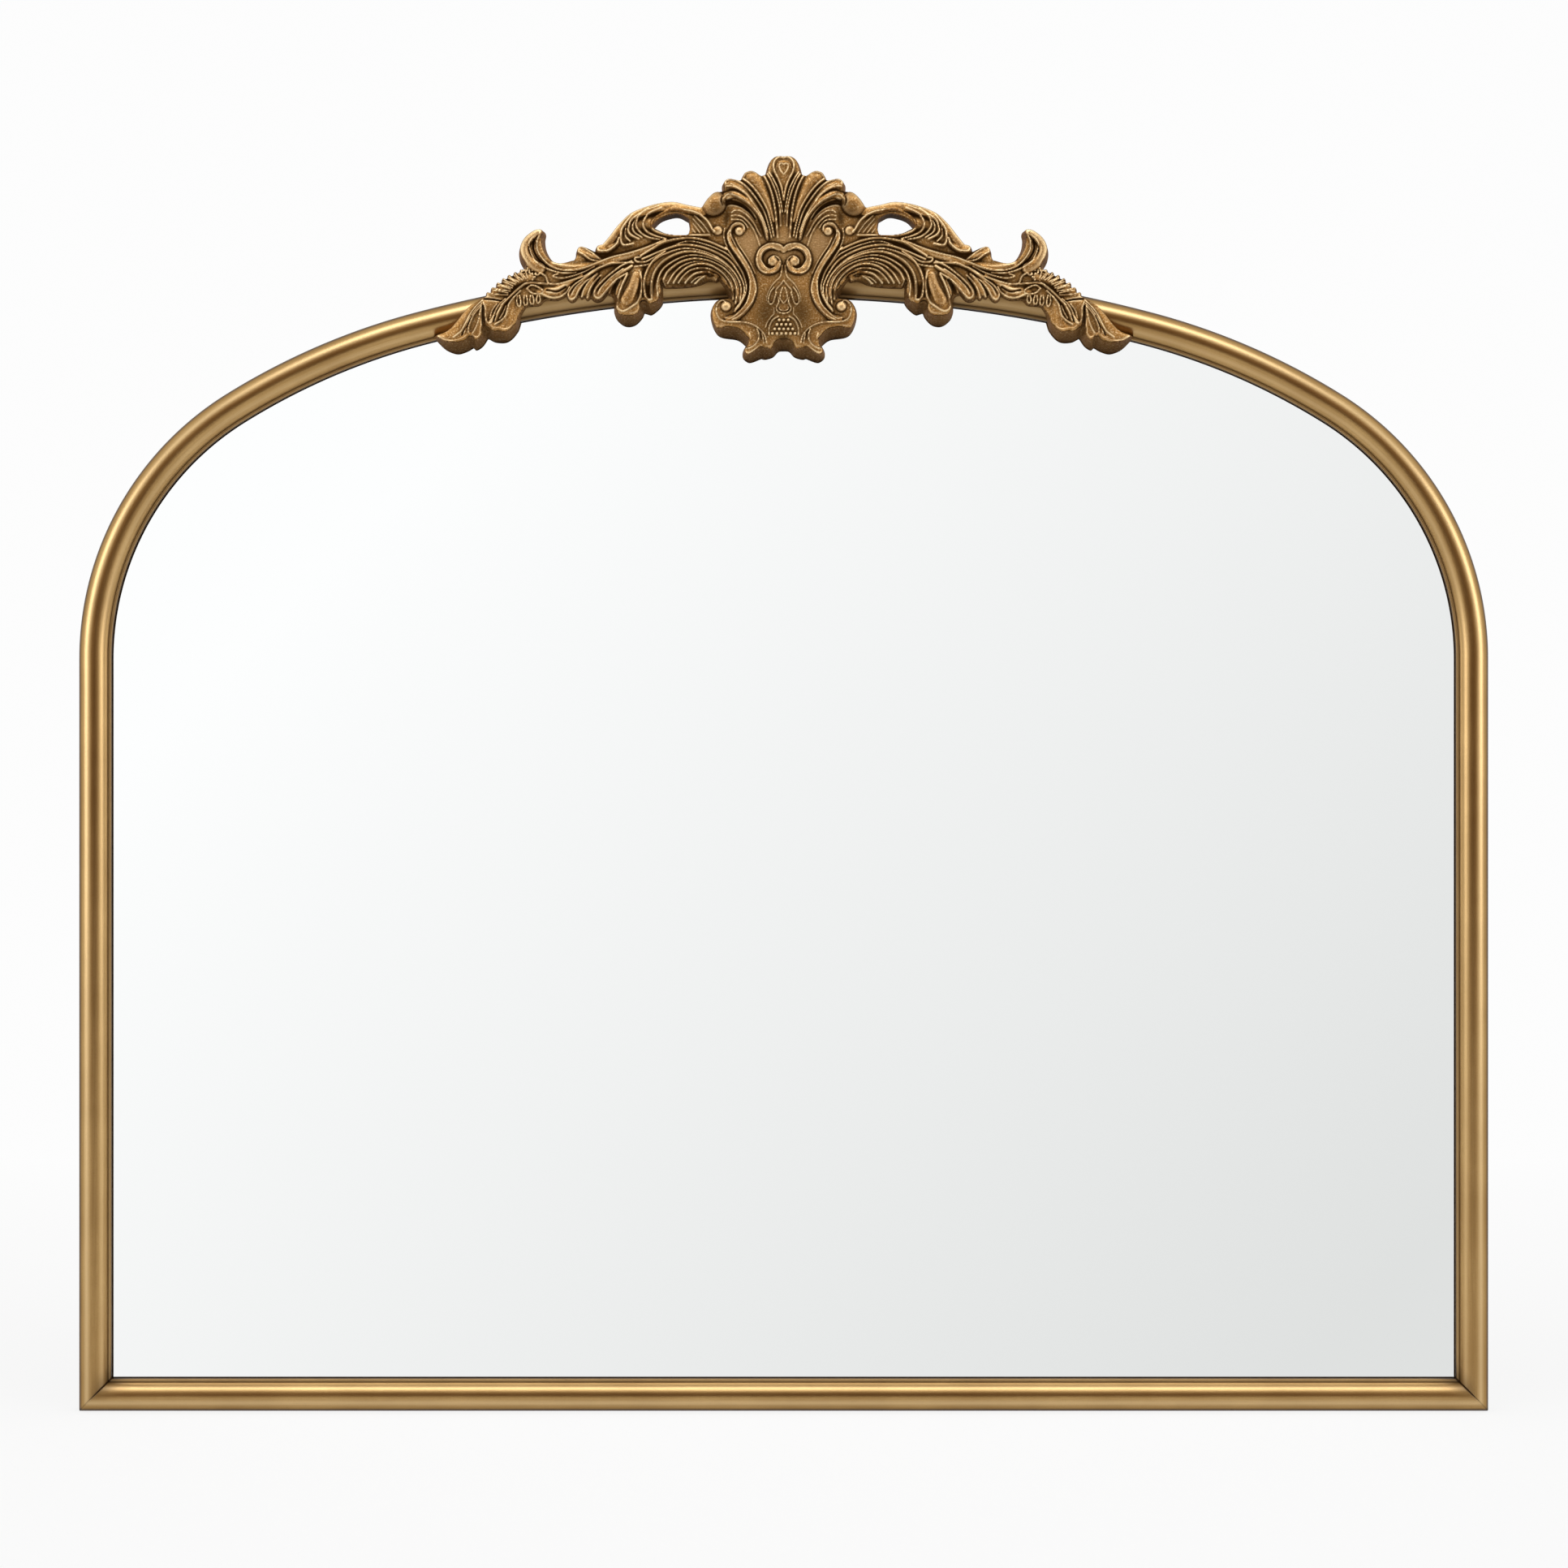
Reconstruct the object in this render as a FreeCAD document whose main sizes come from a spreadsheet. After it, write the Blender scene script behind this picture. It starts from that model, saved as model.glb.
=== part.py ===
"""Arched wall mirror with a carved crest, modelled in millimetres.

The frame stands in the XZ plane: +X to the viewer's right, +Z up, and the front faces -Y.
The origin is the middle of the frame's underside, on the plane where the back panel seats.
"""
import FreeCAD
import Part
import Sketcher
import math
import operator
import os

Vector = FreeCAD.Vector

# Driving dimensions in millimetres, and turns in degrees.
DIMENSIONS = {
    # Arch, measured on the outer edge of the moulding
    "frame_width": 914.0,
    "springing_height": 488.0,
    "haunch_radius": 202.0,
    "haunch_turn": 58.0,
    "shoulder_radius": 447.0,
    "shoulder_turn": 17.2,
    # Moulding section
    "round_radius": 9.1,
    "round_rise": 6.7,
    "lip_reveal": 2.6,
    "lip_thickness": 2.5,
    "lip_bevel": 1.3,
    "back_wall": 4.5,
    "corner_round": 1.5,
    "mitre_gap": 0.2,
    # Glass, tape and back panel
    "glass_thickness": 4.0,
    "glass_lap": 4.5,
    "rebate_gap": 1.0,
    "tape_thickness": 0.5,
    "tape_width": 20.0,
    "tape_length": 360.0,
    "tape_base": 90.0,
    "tape_inset": 130.0,
    "tape_pitch": 220.0,
    "panel_thickness": 9.0,
    "panel_gap": 0.5,
    "panel_recess": 0.3,
    # Screws and nails
    "panel_screw_radius": 1.75,
    "panel_screw_head": 3.4,
    "panel_screw_length": 19.0,
    "panel_screw_pitch": 195.0,
    "panel_screw_margin": 60.0,
    "crest_screw_radius": 2.0,
    "crest_screw_head": 3.8,
    "crest_screw_length": 18.6,
    "crest_screw_inner": 18.0,
    "crest_screw_outer": 100.0,
    "screw_clearance": 0.1,
    "nail_leg": 6.0,
    "nail_thickness": 0.6,
    "nail_depth": 7.0,
    "nail_setback": 7.0,
    "nail_sink": 0.2,
    "nail_clearance": 0.05,
    # Hangers
    "hanger_inset": 160.0,
    "hanger_rise": 90.0,
    "strap_width": 14.0,
    "strap_length": 38.0,
    "strap_thickness": 1.2,
    "strap_hole_first": 9.0,
    "strap_hole_second": 30.0,
    "ring_wire": 1.25,
    "ring_play": 0.3,
    "ring_side_gap": 1.0,
    "ring_corner": 2.6,
    "ring_side": 3.0,
    "hanger_screw_radius": 1.6,
    "hanger_screw_head": 3.1,
    "hanger_screw_dome": 1.0,
    "hanger_screw_length": 7.6,
    # Wall bumpers
    "bumper_radius": 6.5,
    "bumper_top_radius": 5.5,
    "bumper_height": 7.0,
    "bumper_inset": 45.0,
    # Crest
    "crest_width": 454.0,
    "crest_height": 132.0,
    "crest_gap": 0.3,
    "crest_setback": 5.0,
    "crest_cover": 6.0,
    "crest_relief": 5.0,
    "crest_sink": 1.2,
}

doc = FreeCAD.newDocument("arched_wall_mirror")
sheet = doc.addObject("Spreadsheet::Sheet", "Sizes")
for row, (alias, number) in enumerate(DIMENSIONS.items(), start=1):
    sheet.set("A%d" % row, alias)
    sheet.set("B%d" % row, str(number))
    sheet.setAlias("B%d" % row, alias)
doc.recompute()


class Size:
    """A number together with the sheet expression that gives it."""

    def __init__(self, number, text=None):
        self.number = float(number)
        self.text = text or repr(float(number))

    def joined(self, sign, other, rule, swapped=False):
        """Return this size combined with another by one arithmetic sign."""
        other = other if isinstance(other, Size) else Size(other)
        first, second = (other, self) if swapped else (self, other)
        return Size(rule(first.number, second.number), "(%s %s %s)" % (first.text, sign, second.text))

    def __add__(self, other):
        return self.joined("+", other, operator.add)

    def __sub__(self, other):
        return self.joined("-", other, operator.sub)

    def __rsub__(self, other):
        return self.joined("-", other, operator.sub, swapped=True)

    def __mul__(self, other):
        return self.joined("*", other, operator.mul)

    def __truediv__(self, other):
        return self.joined("/", other, operator.truediv)

    def __neg__(self):
        return Size(-self.number, "(-%s)" % self.text)


def size(alias):
    """Read one driving dimension from the sheet."""
    return Size(getattr(sheet, alias), "Sizes.%s" % alias)


def cosine(turn):
    return Size(math.cos(math.radians(turn.number)), "cos(%s * 1 deg)" % turn.text)


def sine(turn):
    return Size(math.sin(math.radians(turn.number)), "sin(%s * 1 deg)" % turn.text)


def root(value):
    return Size(math.sqrt(value.number), "sqrt(%s)" % value.text)


ZERO = Size(0.0)

# Arch: a haunch arc and a shoulder arc on each side meet one crown arc, all tangent.
half_width = size("frame_width") / 2
springing = size("springing_height")
haunch_radius = size("haunch_radius")
shoulder_radius = size("shoulder_radius")
haunch_turn = size("haunch_turn")
crown_start = haunch_turn + size("shoulder_turn")
haunch_x = half_width - haunch_radius
shoulder_x = haunch_x + (haunch_radius - shoulder_radius) * cosine(haunch_turn)
shoulder_z = springing + (haunch_radius - shoulder_radius) * sine(haunch_turn)
crown_radius = shoulder_radius + shoulder_x / cosine(crown_start)
crown_z = shoulder_z + (shoulder_radius - crown_radius) * sine(crown_start)
crown_top = crown_z + crown_radius

# Moulding section: u runs inwards from the outer edge, y runs back from the panel's seat.
round_radius = size("round_radius")
panel_depth = size("panel_recess") + size("panel_thickness")
lip_back = size("tape_thickness") + size("glass_thickness")
lip_front = lip_back + size("lip_thickness")
moulding_front = lip_front + size("round_rise")
round_centre = moulding_front - round_radius
round_drop = lip_front - round_centre
lip_start = round_radius + root(round_radius * round_radius - round_drop * round_drop)
face_width = lip_start + size("lip_reveal")
lip_bevel = size("lip_bevel")
glass_inset = face_width - size("glass_lap")
rebate_wall = glass_inset - size("rebate_gap")
back_wall = size("back_wall")
panel_inset = back_wall + size("panel_gap")
seat_line = (back_wall + rebate_wall) / 2
panel_back = size("panel_thickness")


def origin_plane(body, role):
    """Return one of a body's own origin planes."""
    return next(item for item in body.Origin.OriginFeatures if item.Role == role)


def new_body(name):
    return doc.addObject("PartDesign::Body", name)


def new_sketch(body, role, name):
    """Add an empty sketch on one origin plane of a body."""
    sketch = body.newObject("Sketcher::SketchObject", name)
    sketch.AttachmentSupport = [(origin_plane(body, role), "")]
    sketch.MapMode = "FlatFace"
    return sketch


def bind(item, path, value):
    item.setExpression(path, value.text)


def constrain(sketch, kind, value, *where):
    """Add one dimension to a sketch and bind it to the sheet."""
    index = sketch.addConstraint(Sketcher.Constraint(kind, *where, value.number))
    bind(sketch, "Constraints[%d]" % index, value)


def pin_point(sketch, edge, end, across, up):
    """Fix one end of a sketch edge by its two coordinates."""
    constrain(sketch, "DistanceX", across, -1, 1, edge, end)
    constrain(sketch, "DistanceY", up, -1, 1, edge, end)


def flat(across, up):
    return Vector(across.number, up.number, 0)


def draw_chain(sketch, points, arcs, closed):
    """Draw a chain of lines and arcs through bound points.

    points is a list of (across, up) sizes. arcs maps the number of a stretch to
    (centre across, centre up, radius) where that stretch is a counter-clockwise arc.
    """
    count = len(points) if closed else len(points) - 1
    for index in range(count):
        start = flat(*points[index])
        end = flat(*points[(index + 1) % len(points)])
        if index in arcs:
            across, up, radius = arcs[index]
            centre = flat(across, up)
            angles = [math.atan2(spot.y - centre.y, spot.x - centre.x) for spot in (start, end)]
            if angles[1] < angles[0]:
                angles[1] += 2 * math.pi
            circle = Part.Circle(centre, Vector(0, 0, 1), radius.number)
            sketch.addGeometry(Part.ArcOfCircle(circle, *angles), False)
        else:
            sketch.addGeometry(Part.LineSegment(start, end), False)
    for index in range(count if closed else count - 1):
        sketch.addConstraint(Sketcher.Constraint("Coincident", index, 2, (index + 1) % count, 1))
    for index in range(count):
        pin_point(sketch, index, 1, *points[index])
    if not closed:
        pin_point(sketch, count - 1, 2, *points[-1])
    for index, (across, up, radius) in arcs.items():
        chord = flat(*points[(index + 1) % len(points)]) - flat(*points[index])
        if abs(chord.x) > abs(chord.y):
            constrain(sketch, "DistanceY", up, -1, 1, index, 3)
        else:
            constrain(sketch, "DistanceX", across, -1, 1, index, 3)


def draw_circle(sketch, across, up, radius):
    """Draw one bound circle."""
    edge = sketch.addGeometry(Part.Circle(flat(across, up), Vector(0, 0, 1), radius.number), False)
    pin_point(sketch, edge, 3, across, up)
    constrain(sketch, "Radius", radius, edge)


def arch_points(inset, foot):
    """Return the arch's joints from the right foot over the crown to the left foot."""
    right = [
        (half_width - inset, foot),
        (half_width - inset, springing),
        (haunch_x + (haunch_radius - inset) * cosine(haunch_turn),
         springing + (haunch_radius - inset) * sine(haunch_turn)),
        (shoulder_x + (shoulder_radius - inset) * cosine(crown_start),
         shoulder_z + (shoulder_radius - inset) * sine(crown_start)),
    ]
    return right + [(-across, up) for across, up in reversed(right)]


def arch_arcs(inset):
    """Return the five arcs of the arch at an inset, by the number of their stretch."""
    haunch = haunch_radius - inset
    shoulder = shoulder_radius - inset
    return {
        1: (haunch_x, springing, haunch),
        2: (shoulder_x, shoulder_z, shoulder),
        3: (ZERO, crown_z, crown_radius - inset),
        4: (-shoulder_x, shoulder_z, shoulder),
        5: (-haunch_x, springing, haunch),
    }


def section_points():
    """Return the moulding's section as (u, y), from the back of the outer wall round the front."""
    return [
        (ZERO, panel_depth),
        (back_wall, panel_depth),
        (back_wall, ZERO),
        (rebate_wall, ZERO),
        (rebate_wall, -lip_back),
        (face_width, -lip_back),
        (face_width, lip_bevel - lip_front),
        (face_width - lip_bevel, -lip_front),
        (lip_start, -lip_front),
        (ZERO, -round_centre),
    ]


def round_arc(points, across, up):
    """Return the arc of the moulding's round, the stretch that ends at the section's last point."""
    return {points.index(points[-1]) - 1: (across, up, round_radius)}


def along_arch(inset, distance):
    """Return the point (x, z) on the right half of the arch, this far up from the foot."""
    legs = [
        (springing - inset).number,
        (haunch_radius - inset).number * math.radians(haunch_turn.number),
        (shoulder_radius - inset).number * math.radians((crown_start - haunch_turn).number),
    ]
    if distance <= legs[0]:
        return (half_width - inset).number, inset.number + distance
    distance -= legs[0]
    if distance <= legs[1]:
        reach = (haunch_radius - inset).number
        turn = distance / reach
        return haunch_x.number + reach * math.cos(turn), springing.number + reach * math.sin(turn)
    distance -= legs[1]
    if distance <= legs[2]:
        reach = (shoulder_radius - inset).number
        turn = math.radians(haunch_turn.number) + distance / reach
        return shoulder_x.number + reach * math.cos(turn), shoulder_z.number + reach * math.sin(turn)
    distance -= legs[2]
    reach = (crown_radius - inset).number
    turn = math.radians(crown_start.number) + distance / reach
    return reach * math.cos(turn), crown_z.number + reach * math.sin(turn)


def half_arch_length(inset):
    """Return the length of half the arch, from the foot to the crown."""
    turns = ((haunch_radius, haunch_turn.number),
             (shoulder_radius, (crown_start - haunch_turn).number),
             (crown_radius, 90.0 - crown_start.number))
    bent = sum((radius - inset).number * math.radians(turn) for radius, turn in turns)
    return (springing - inset).number + bent


def on_crown(inset, across):
    """Return the point (x, z) on the crown arc at a distance from the middle."""
    reach = (crown_radius - inset).number
    return across, crown_z.number + math.sqrt(reach * reach - across * across)


def feature(name, shape):
    """Add a plain shape to the document."""
    item = doc.addObject("Part::Feature", name)
    item.Shape = shape
    return item


def cut(name, base, tools):
    """Cut a list of tools from a base, as one document object."""
    tool = doc.addObject("Part::Compound", name + "_tools")
    tool.Links = tools
    result = doc.addObject("Part::Cut", name)
    result.Base = base
    result.Tool = tool
    result.Refine = False
    return result


# Screws and nails, all driven from the back. A round head turns over at a ring, given as
# shares of the head's radius and of its height.
HEAD_RING = (0.55, 0.8)


def turned(profile):
    """Return the solid that a half profile of (radius, y) points makes about the Y axis."""
    corners = [Vector(radius, along, 0) for radius, along in profile]
    face = Part.Face(Part.makePolygon(corners + corners[:1]))
    return face.revolve(Vector(0, 0, 0), Vector(0, 1, 0), 360)


def countersunk_screw(shank, head, length, grow):
    """Return a flat-headed screw whose head lies at y 0 and whose point is at -length."""
    shank += grow
    head += grow
    point = length + grow - shank
    return turned([(0, 0), (head, 0), (shank, shank - head), (shank, -point), (0, -length - grow)])


def domed_screw(shank, head, dome, length, grow):
    """Return a round-headed screw whose head seats at y 0."""
    shank += grow
    point = length + grow - shank
    across, up = HEAD_RING
    ring = (across * head, up * dome)
    return turned([(0, dome), ring, (head, 0), (shank, 0), (shank, -point), (0, -length - grow)])


def placed(shape, spots):
    """Return a compound of copies of a shape at (x, y, z) spots."""
    copies = []
    for spot in spots:
        copy = shape.copy()
        copy.translate(Vector(*spot))
        copies.append(copy)
    return Part.makeCompound(copies)


def panel_screw_spots():
    """Return the places of the panel's screws, evenly spaced along the middle of its seat."""
    margin = size("panel_screw_margin").number
    pitch = size("panel_screw_pitch").number
    length = half_arch_length(seat_line)
    steps = max(1, round((length - margin) / pitch))
    spots = []
    for step in range(steps):
        across, up = along_arch(seat_line, margin + step * (length - margin) / steps)
        spots += [(across, panel_back.number, up), (-across, panel_back.number, up)]
    spots.append((0, panel_back.number, on_crown(seat_line, 0)[1]))
    reach = half_width.number - margin
    steps = max(1, round(2 * reach / pitch))
    for step in range(steps + 1):
        spots.append((-reach + 2 * reach * step / steps, panel_back.number, seat_line.number))
    return spots


def crest_screw_spots():
    """Return the places of the crest's screws, whose heads lie in the seat under the panel."""
    spots = []
    for alias in ("crest_screw_inner", "crest_screw_outer"):
        for side in (-1, 1):
            across, up = on_crown(seat_line, side * size(alias).number)
            spots.append((across, 0, up))
    return spots


def hanger_spots():
    """Return the hinge lines of the hangers, by the side that they are on."""
    bore = size("ring_wire") + size("ring_play")
    away = panel_back + size("strap_thickness") + bore
    up = springing + size("hanger_rise")
    across = half_width - size("hanger_inset")
    return {"left": Vector((-across).number, away.number, up.number),
            "right": Vector(across.number, away.number, up.number)}


def hanger_screw_spots():
    """Return the places of the straps' screws."""
    face = (panel_back + size("strap_thickness")).number
    spots = []
    for hinge in hanger_spots().values():
        for alias in ("strap_hole_first", "strap_hole_second"):
            spots.append((hinge.x, face, hinge.z - size(alias).number))
    return spots


def panel_screw_set(grow):
    screw = countersunk_screw(size("panel_screw_radius").number, size("panel_screw_head").number,
                              size("panel_screw_length").number, grow)
    return placed(screw, panel_screw_spots())


def crest_screw_set(grow):
    screw = countersunk_screw(size("crest_screw_radius").number, size("crest_screw_head").number,
                              size("crest_screw_length").number, grow)
    return placed(screw, crest_screw_spots())


def hanger_screw_set(grow):
    screw = domed_screw(size("hanger_screw_radius").number, size("hanger_screw_head").number,
                        size("hanger_screw_dome").number, size("hanger_screw_length").number, grow)
    return placed(screw, hanger_screw_spots())


def mitre_nail_set(grow):
    """Return the bent nails that draw each mitre together, one leg in each rail."""
    near = size("nail_setback").number
    leg = size("nail_leg").number + grow
    thick = size("nail_thickness").number / 2 + grow
    top = -size("nail_sink").number
    deep = size("nail_depth").number + grow
    ell = [(-thick, -thick), (leg, -thick), (leg, thick), (thick, thick), (thick, leg), (-thick, leg)]
    nails = []
    for side in (-1, 1):
        corner = Vector(side * (half_width.number - near), top, near)
        points = [corner + Vector(-side * across, 0, up) for across, up in ell]
        face = Part.Face(Part.makePolygon(points + points[:1]))
        nails.append(face.extrude(Vector(0, -deep, 0)))
    return Part.makeCompound(nails)


clearance = size("screw_clearance").number
panel_screw_room = feature("panel_screw_room", panel_screw_set(clearance))
crest_screw_room = feature("crest_screw_room", crest_screw_set(clearance))
hanger_screw_room = feature("hanger_screw_room", hanger_screw_set(clearance))
nail_room = feature("nail_room", mitre_nail_set(size("nail_clearance").number))


# Rails. The blocks that trim them reach this many times past the moulding's section.
BLOCK_REACH = 2
MITRE_TURN = 45


def mitre_block(name, side, sign):
    """Return a box that takes off what lies below (-1) or above (1) a mitre plane, and half the mitre gap."""
    reach = face_width * BLOCK_REACH
    deep = moulding_front * BLOCK_REACH
    block = doc.addObject("Part::Box", name)
    bind(block, "Length", reach * 2)
    bind(block, "Width", deep * 2)
    bind(block, "Height", reach)
    turn = FreeCAD.Rotation(Vector(0, 1, 0), side * MITRE_TURN)
    half_gap = size("mitre_gap").number / 2
    low = -reach.number + half_gap if sign < 0 else -half_gap
    shift = turn.multVec(Vector(-reach.number, -deep.number, low))
    corner = Vector(side * half_width.number, 0, 0)
    block.Placement = FreeCAD.Placement(corner + shift, turn)
    return block


def corner_block(name, side):
    """Return what is left outside a rounded corner, to be cut from both rails."""
    radius = size("corner_round").number
    deep = moulding_front.number * BLOCK_REACH
    corner = Vector(side * half_width.number, -deep, 0)
    low = corner + Vector(-radius if side > 0 else 0, 0, 0)
    square = Part.makeBox(radius, 2 * deep, radius, low)
    middle = corner + Vector(-side * radius, 0, radius)
    return feature(name, square.cut(Part.makeCylinder(radius, 2 * deep, middle, Vector(0, 1, 0))))


corner_blocks = [corner_block("corner_%s" % name, side) for name, side in (("left", -1), ("right", 1))]


def make_arch_rail():
    """Sweep the moulding over the arch and mitre both feet."""
    body = new_body("arch_moulding")
    path = new_sketch(body, "XZ_Plane", "arch_path")
    draw_chain(path, arch_points(ZERO, ZERO), arch_arcs(ZERO), closed=False)
    section = new_sketch(body, "XY_Plane", "arch_section")
    points = [(half_width - u, y) for u, y in section_points()]
    draw_chain(section, points, round_arc(points, half_width - round_radius, -round_centre), closed=True)
    doc.recompute()
    pipe = body.newObject("PartDesign::AdditivePipe", "arch_sweep")
    pipe.Profile = section
    pipe.Spine = path
    blocks = [mitre_block("arch_mitre_left", -1, -1), mitre_block("arch_mitre_right", 1, -1)]
    tools = blocks + corner_blocks + [panel_screw_room, crest_screw_room, nail_room]
    return cut("arch_rail", body, tools)


def make_bottom_rail():
    """Run the moulding along the bottom and mitre both ends."""
    body = new_body("bottom_moulding")
    section = new_sketch(body, "YZ_Plane", "bottom_section")
    points = [(y, u) for u, y in section_points()]
    draw_chain(section, points, round_arc(points, -round_centre, round_radius), closed=True)
    doc.recompute()
    pad = body.newObject("PartDesign::Pad", "bottom_run")
    pad.Profile = section
    pad.SideType = "Symmetric"
    bind(pad, "Length", size("frame_width"))
    blocks = [mitre_block("bottom_mitre_left", -1, 1), mitre_block("bottom_mitre_right", 1, 1)]
    return cut("bottom_rail", body, blocks + corner_blocks + [panel_screw_room, nail_room])


# Glass, tape and panel
def arched_sheet(name, inset, thickness, away):
    """Pad a flat arched sheet whose front lies away behind the datum plane."""
    body = new_body(name)
    outline = new_sketch(body, "XZ_Plane", name + "_outline")
    draw_chain(outline, arch_points(inset, inset), arch_arcs(inset), closed=True)
    doc.recompute()
    pad = body.newObject("PartDesign::Pad", name + "_pad")
    pad.Profile = outline
    pad.Reversed = True
    bind(pad, "Length", thickness)
    body.Placement = FreeCAD.Placement(Vector(0, away.number, 0), FreeCAD.Rotation())
    return body


def make_tape(index, across):
    """Place one upright strip of glazing tape between the glass and the panel."""
    strip = doc.addObject("Part::Box", "glass_tape_%d" % index)
    bind(strip, "Length", size("tape_width"))
    bind(strip, "Width", size("tape_thickness"))
    bind(strip, "Height", size("tape_length"))
    corner = Vector(across - size("tape_width").number / 2, -size("tape_thickness").number,
                    size("tape_base").number)
    strip.Placement = FreeCAD.Placement(corner, FreeCAD.Rotation())
    return strip


def make_tapes():
    """Return the strips of tape: two on each side of the middle."""
    outer = half_width.number - size("tape_inset").number
    inner = outer - size("tape_pitch").number
    return [make_tape(index, across) for index, across in enumerate((-outer, -inner, inner, outer), start=1)]


# Hangers
def make_strap(side, hinge):
    """Build a strap with a rounded foot, two screw holes and a rolled eye for the ring's bar."""
    wide = size("strap_width") / 2
    low = size("strap_length") - wide
    bore = size("ring_wire") + size("ring_play")
    thick = size("strap_thickness")
    body = new_body("hanger_strap_%s" % side)
    plate = new_sketch(body, "XZ_Plane", "strap_plate_%s" % side)
    corners = [(-wide, -low), (wide, -low), (wide, ZERO), (-wide, ZERO)]
    draw_chain(plate, corners, {0: (ZERO, -low, wide)}, closed=True)
    for alias in ("strap_hole_first", "strap_hole_second"):
        draw_circle(plate, ZERO, -size(alias), size("hanger_screw_radius") + size("screw_clearance"))
    bind(plate, "AttachmentOffset.Base.z", bore)
    doc.recompute()
    pad = body.newObject("PartDesign::Pad", "strap_pad_%s" % side)
    pad.Profile = plate
    bind(pad, "Length", thick)
    eye = new_sketch(body, "YZ_Plane", "strap_eye_%s" % side)
    draw_circle(eye, ZERO, ZERO, bore + thick)
    draw_circle(eye, ZERO, ZERO, bore)
    doc.recompute()
    roll = body.newObject("PartDesign::Pad", "strap_roll_%s" % side)
    roll.Profile = eye
    roll.SideType = "Symmetric"
    bind(roll, "Length", size("strap_width"))
    body.Placement = FreeCAD.Placement(hinge, FreeCAD.Rotation())
    return body


def make_ring(side, hinge):
    """Bend a wire ring with a straight bar through the strap's eye, hanging down over the strap."""
    wire = size("ring_wire")
    corner = size("ring_corner")
    reach = size("strap_width") / 2 + size("ring_side_gap") + wire
    low = corner + size("ring_side")
    body = new_body("d_ring_%s" % side)
    path = new_sketch(body, "XZ_Plane", "ring_path_%s" % side)
    points = [(ZERO, ZERO), (corner - reach, ZERO), (-reach, -corner), (-reach, -low),
              (reach, -low), (reach, -corner), (reach - corner, ZERO)]
    arcs = {1: (corner - reach, -corner, corner), 3: (ZERO, -low, reach), 5: (reach - corner, -corner, corner)}
    draw_chain(path, points, arcs, closed=True)
    section = new_sketch(body, "YZ_Plane", "ring_section_%s" % side)
    draw_circle(section, ZERO, ZERO, wire)
    doc.recompute()
    pipe = body.newObject("PartDesign::AdditivePipe", "ring_sweep_%s" % side)
    pipe.Profile = section
    pipe.Spine = path
    body.Placement = FreeCAD.Placement(hinge, FreeCAD.Rotation())
    return body


def make_bumper(name, across, up):
    """Stand one tapered rubber bumper on the panel's back."""
    bumper = doc.addObject("Part::Cone", "bumper_%s" % name)
    bind(bumper, "Radius1", size("bumper_radius"))
    bind(bumper, "Radius2", size("bumper_top_radius"))
    bind(bumper, "Height", size("bumper_height"))
    turn = FreeCAD.Rotation(Vector(0, 0, 1), Vector(0, 1, 0))
    bumper.Placement = FreeCAD.Placement(Vector(across, panel_back.number, up), turn)
    return bumper


def make_bumpers():
    """Return two bumpers near the feet and two at the springing of the arch."""
    inset = size("bumper_inset").number
    across = half_width.number - inset
    return [make_bumper("%s_%s" % (level, side), sign * across, up)
            for level, up in (("lower", inset), ("upper", springing.number))
            for side, sign in (("left", -1), ("right", 1))]


# Crest: points are (x, z) in millimetres of the left half, as drawn at the size below,
# from the middle of the mirror and from the outer edge of the crown.
DRAWN_WIDTH = 454.0
DRAWN_HEIGHT = 132.0

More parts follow.
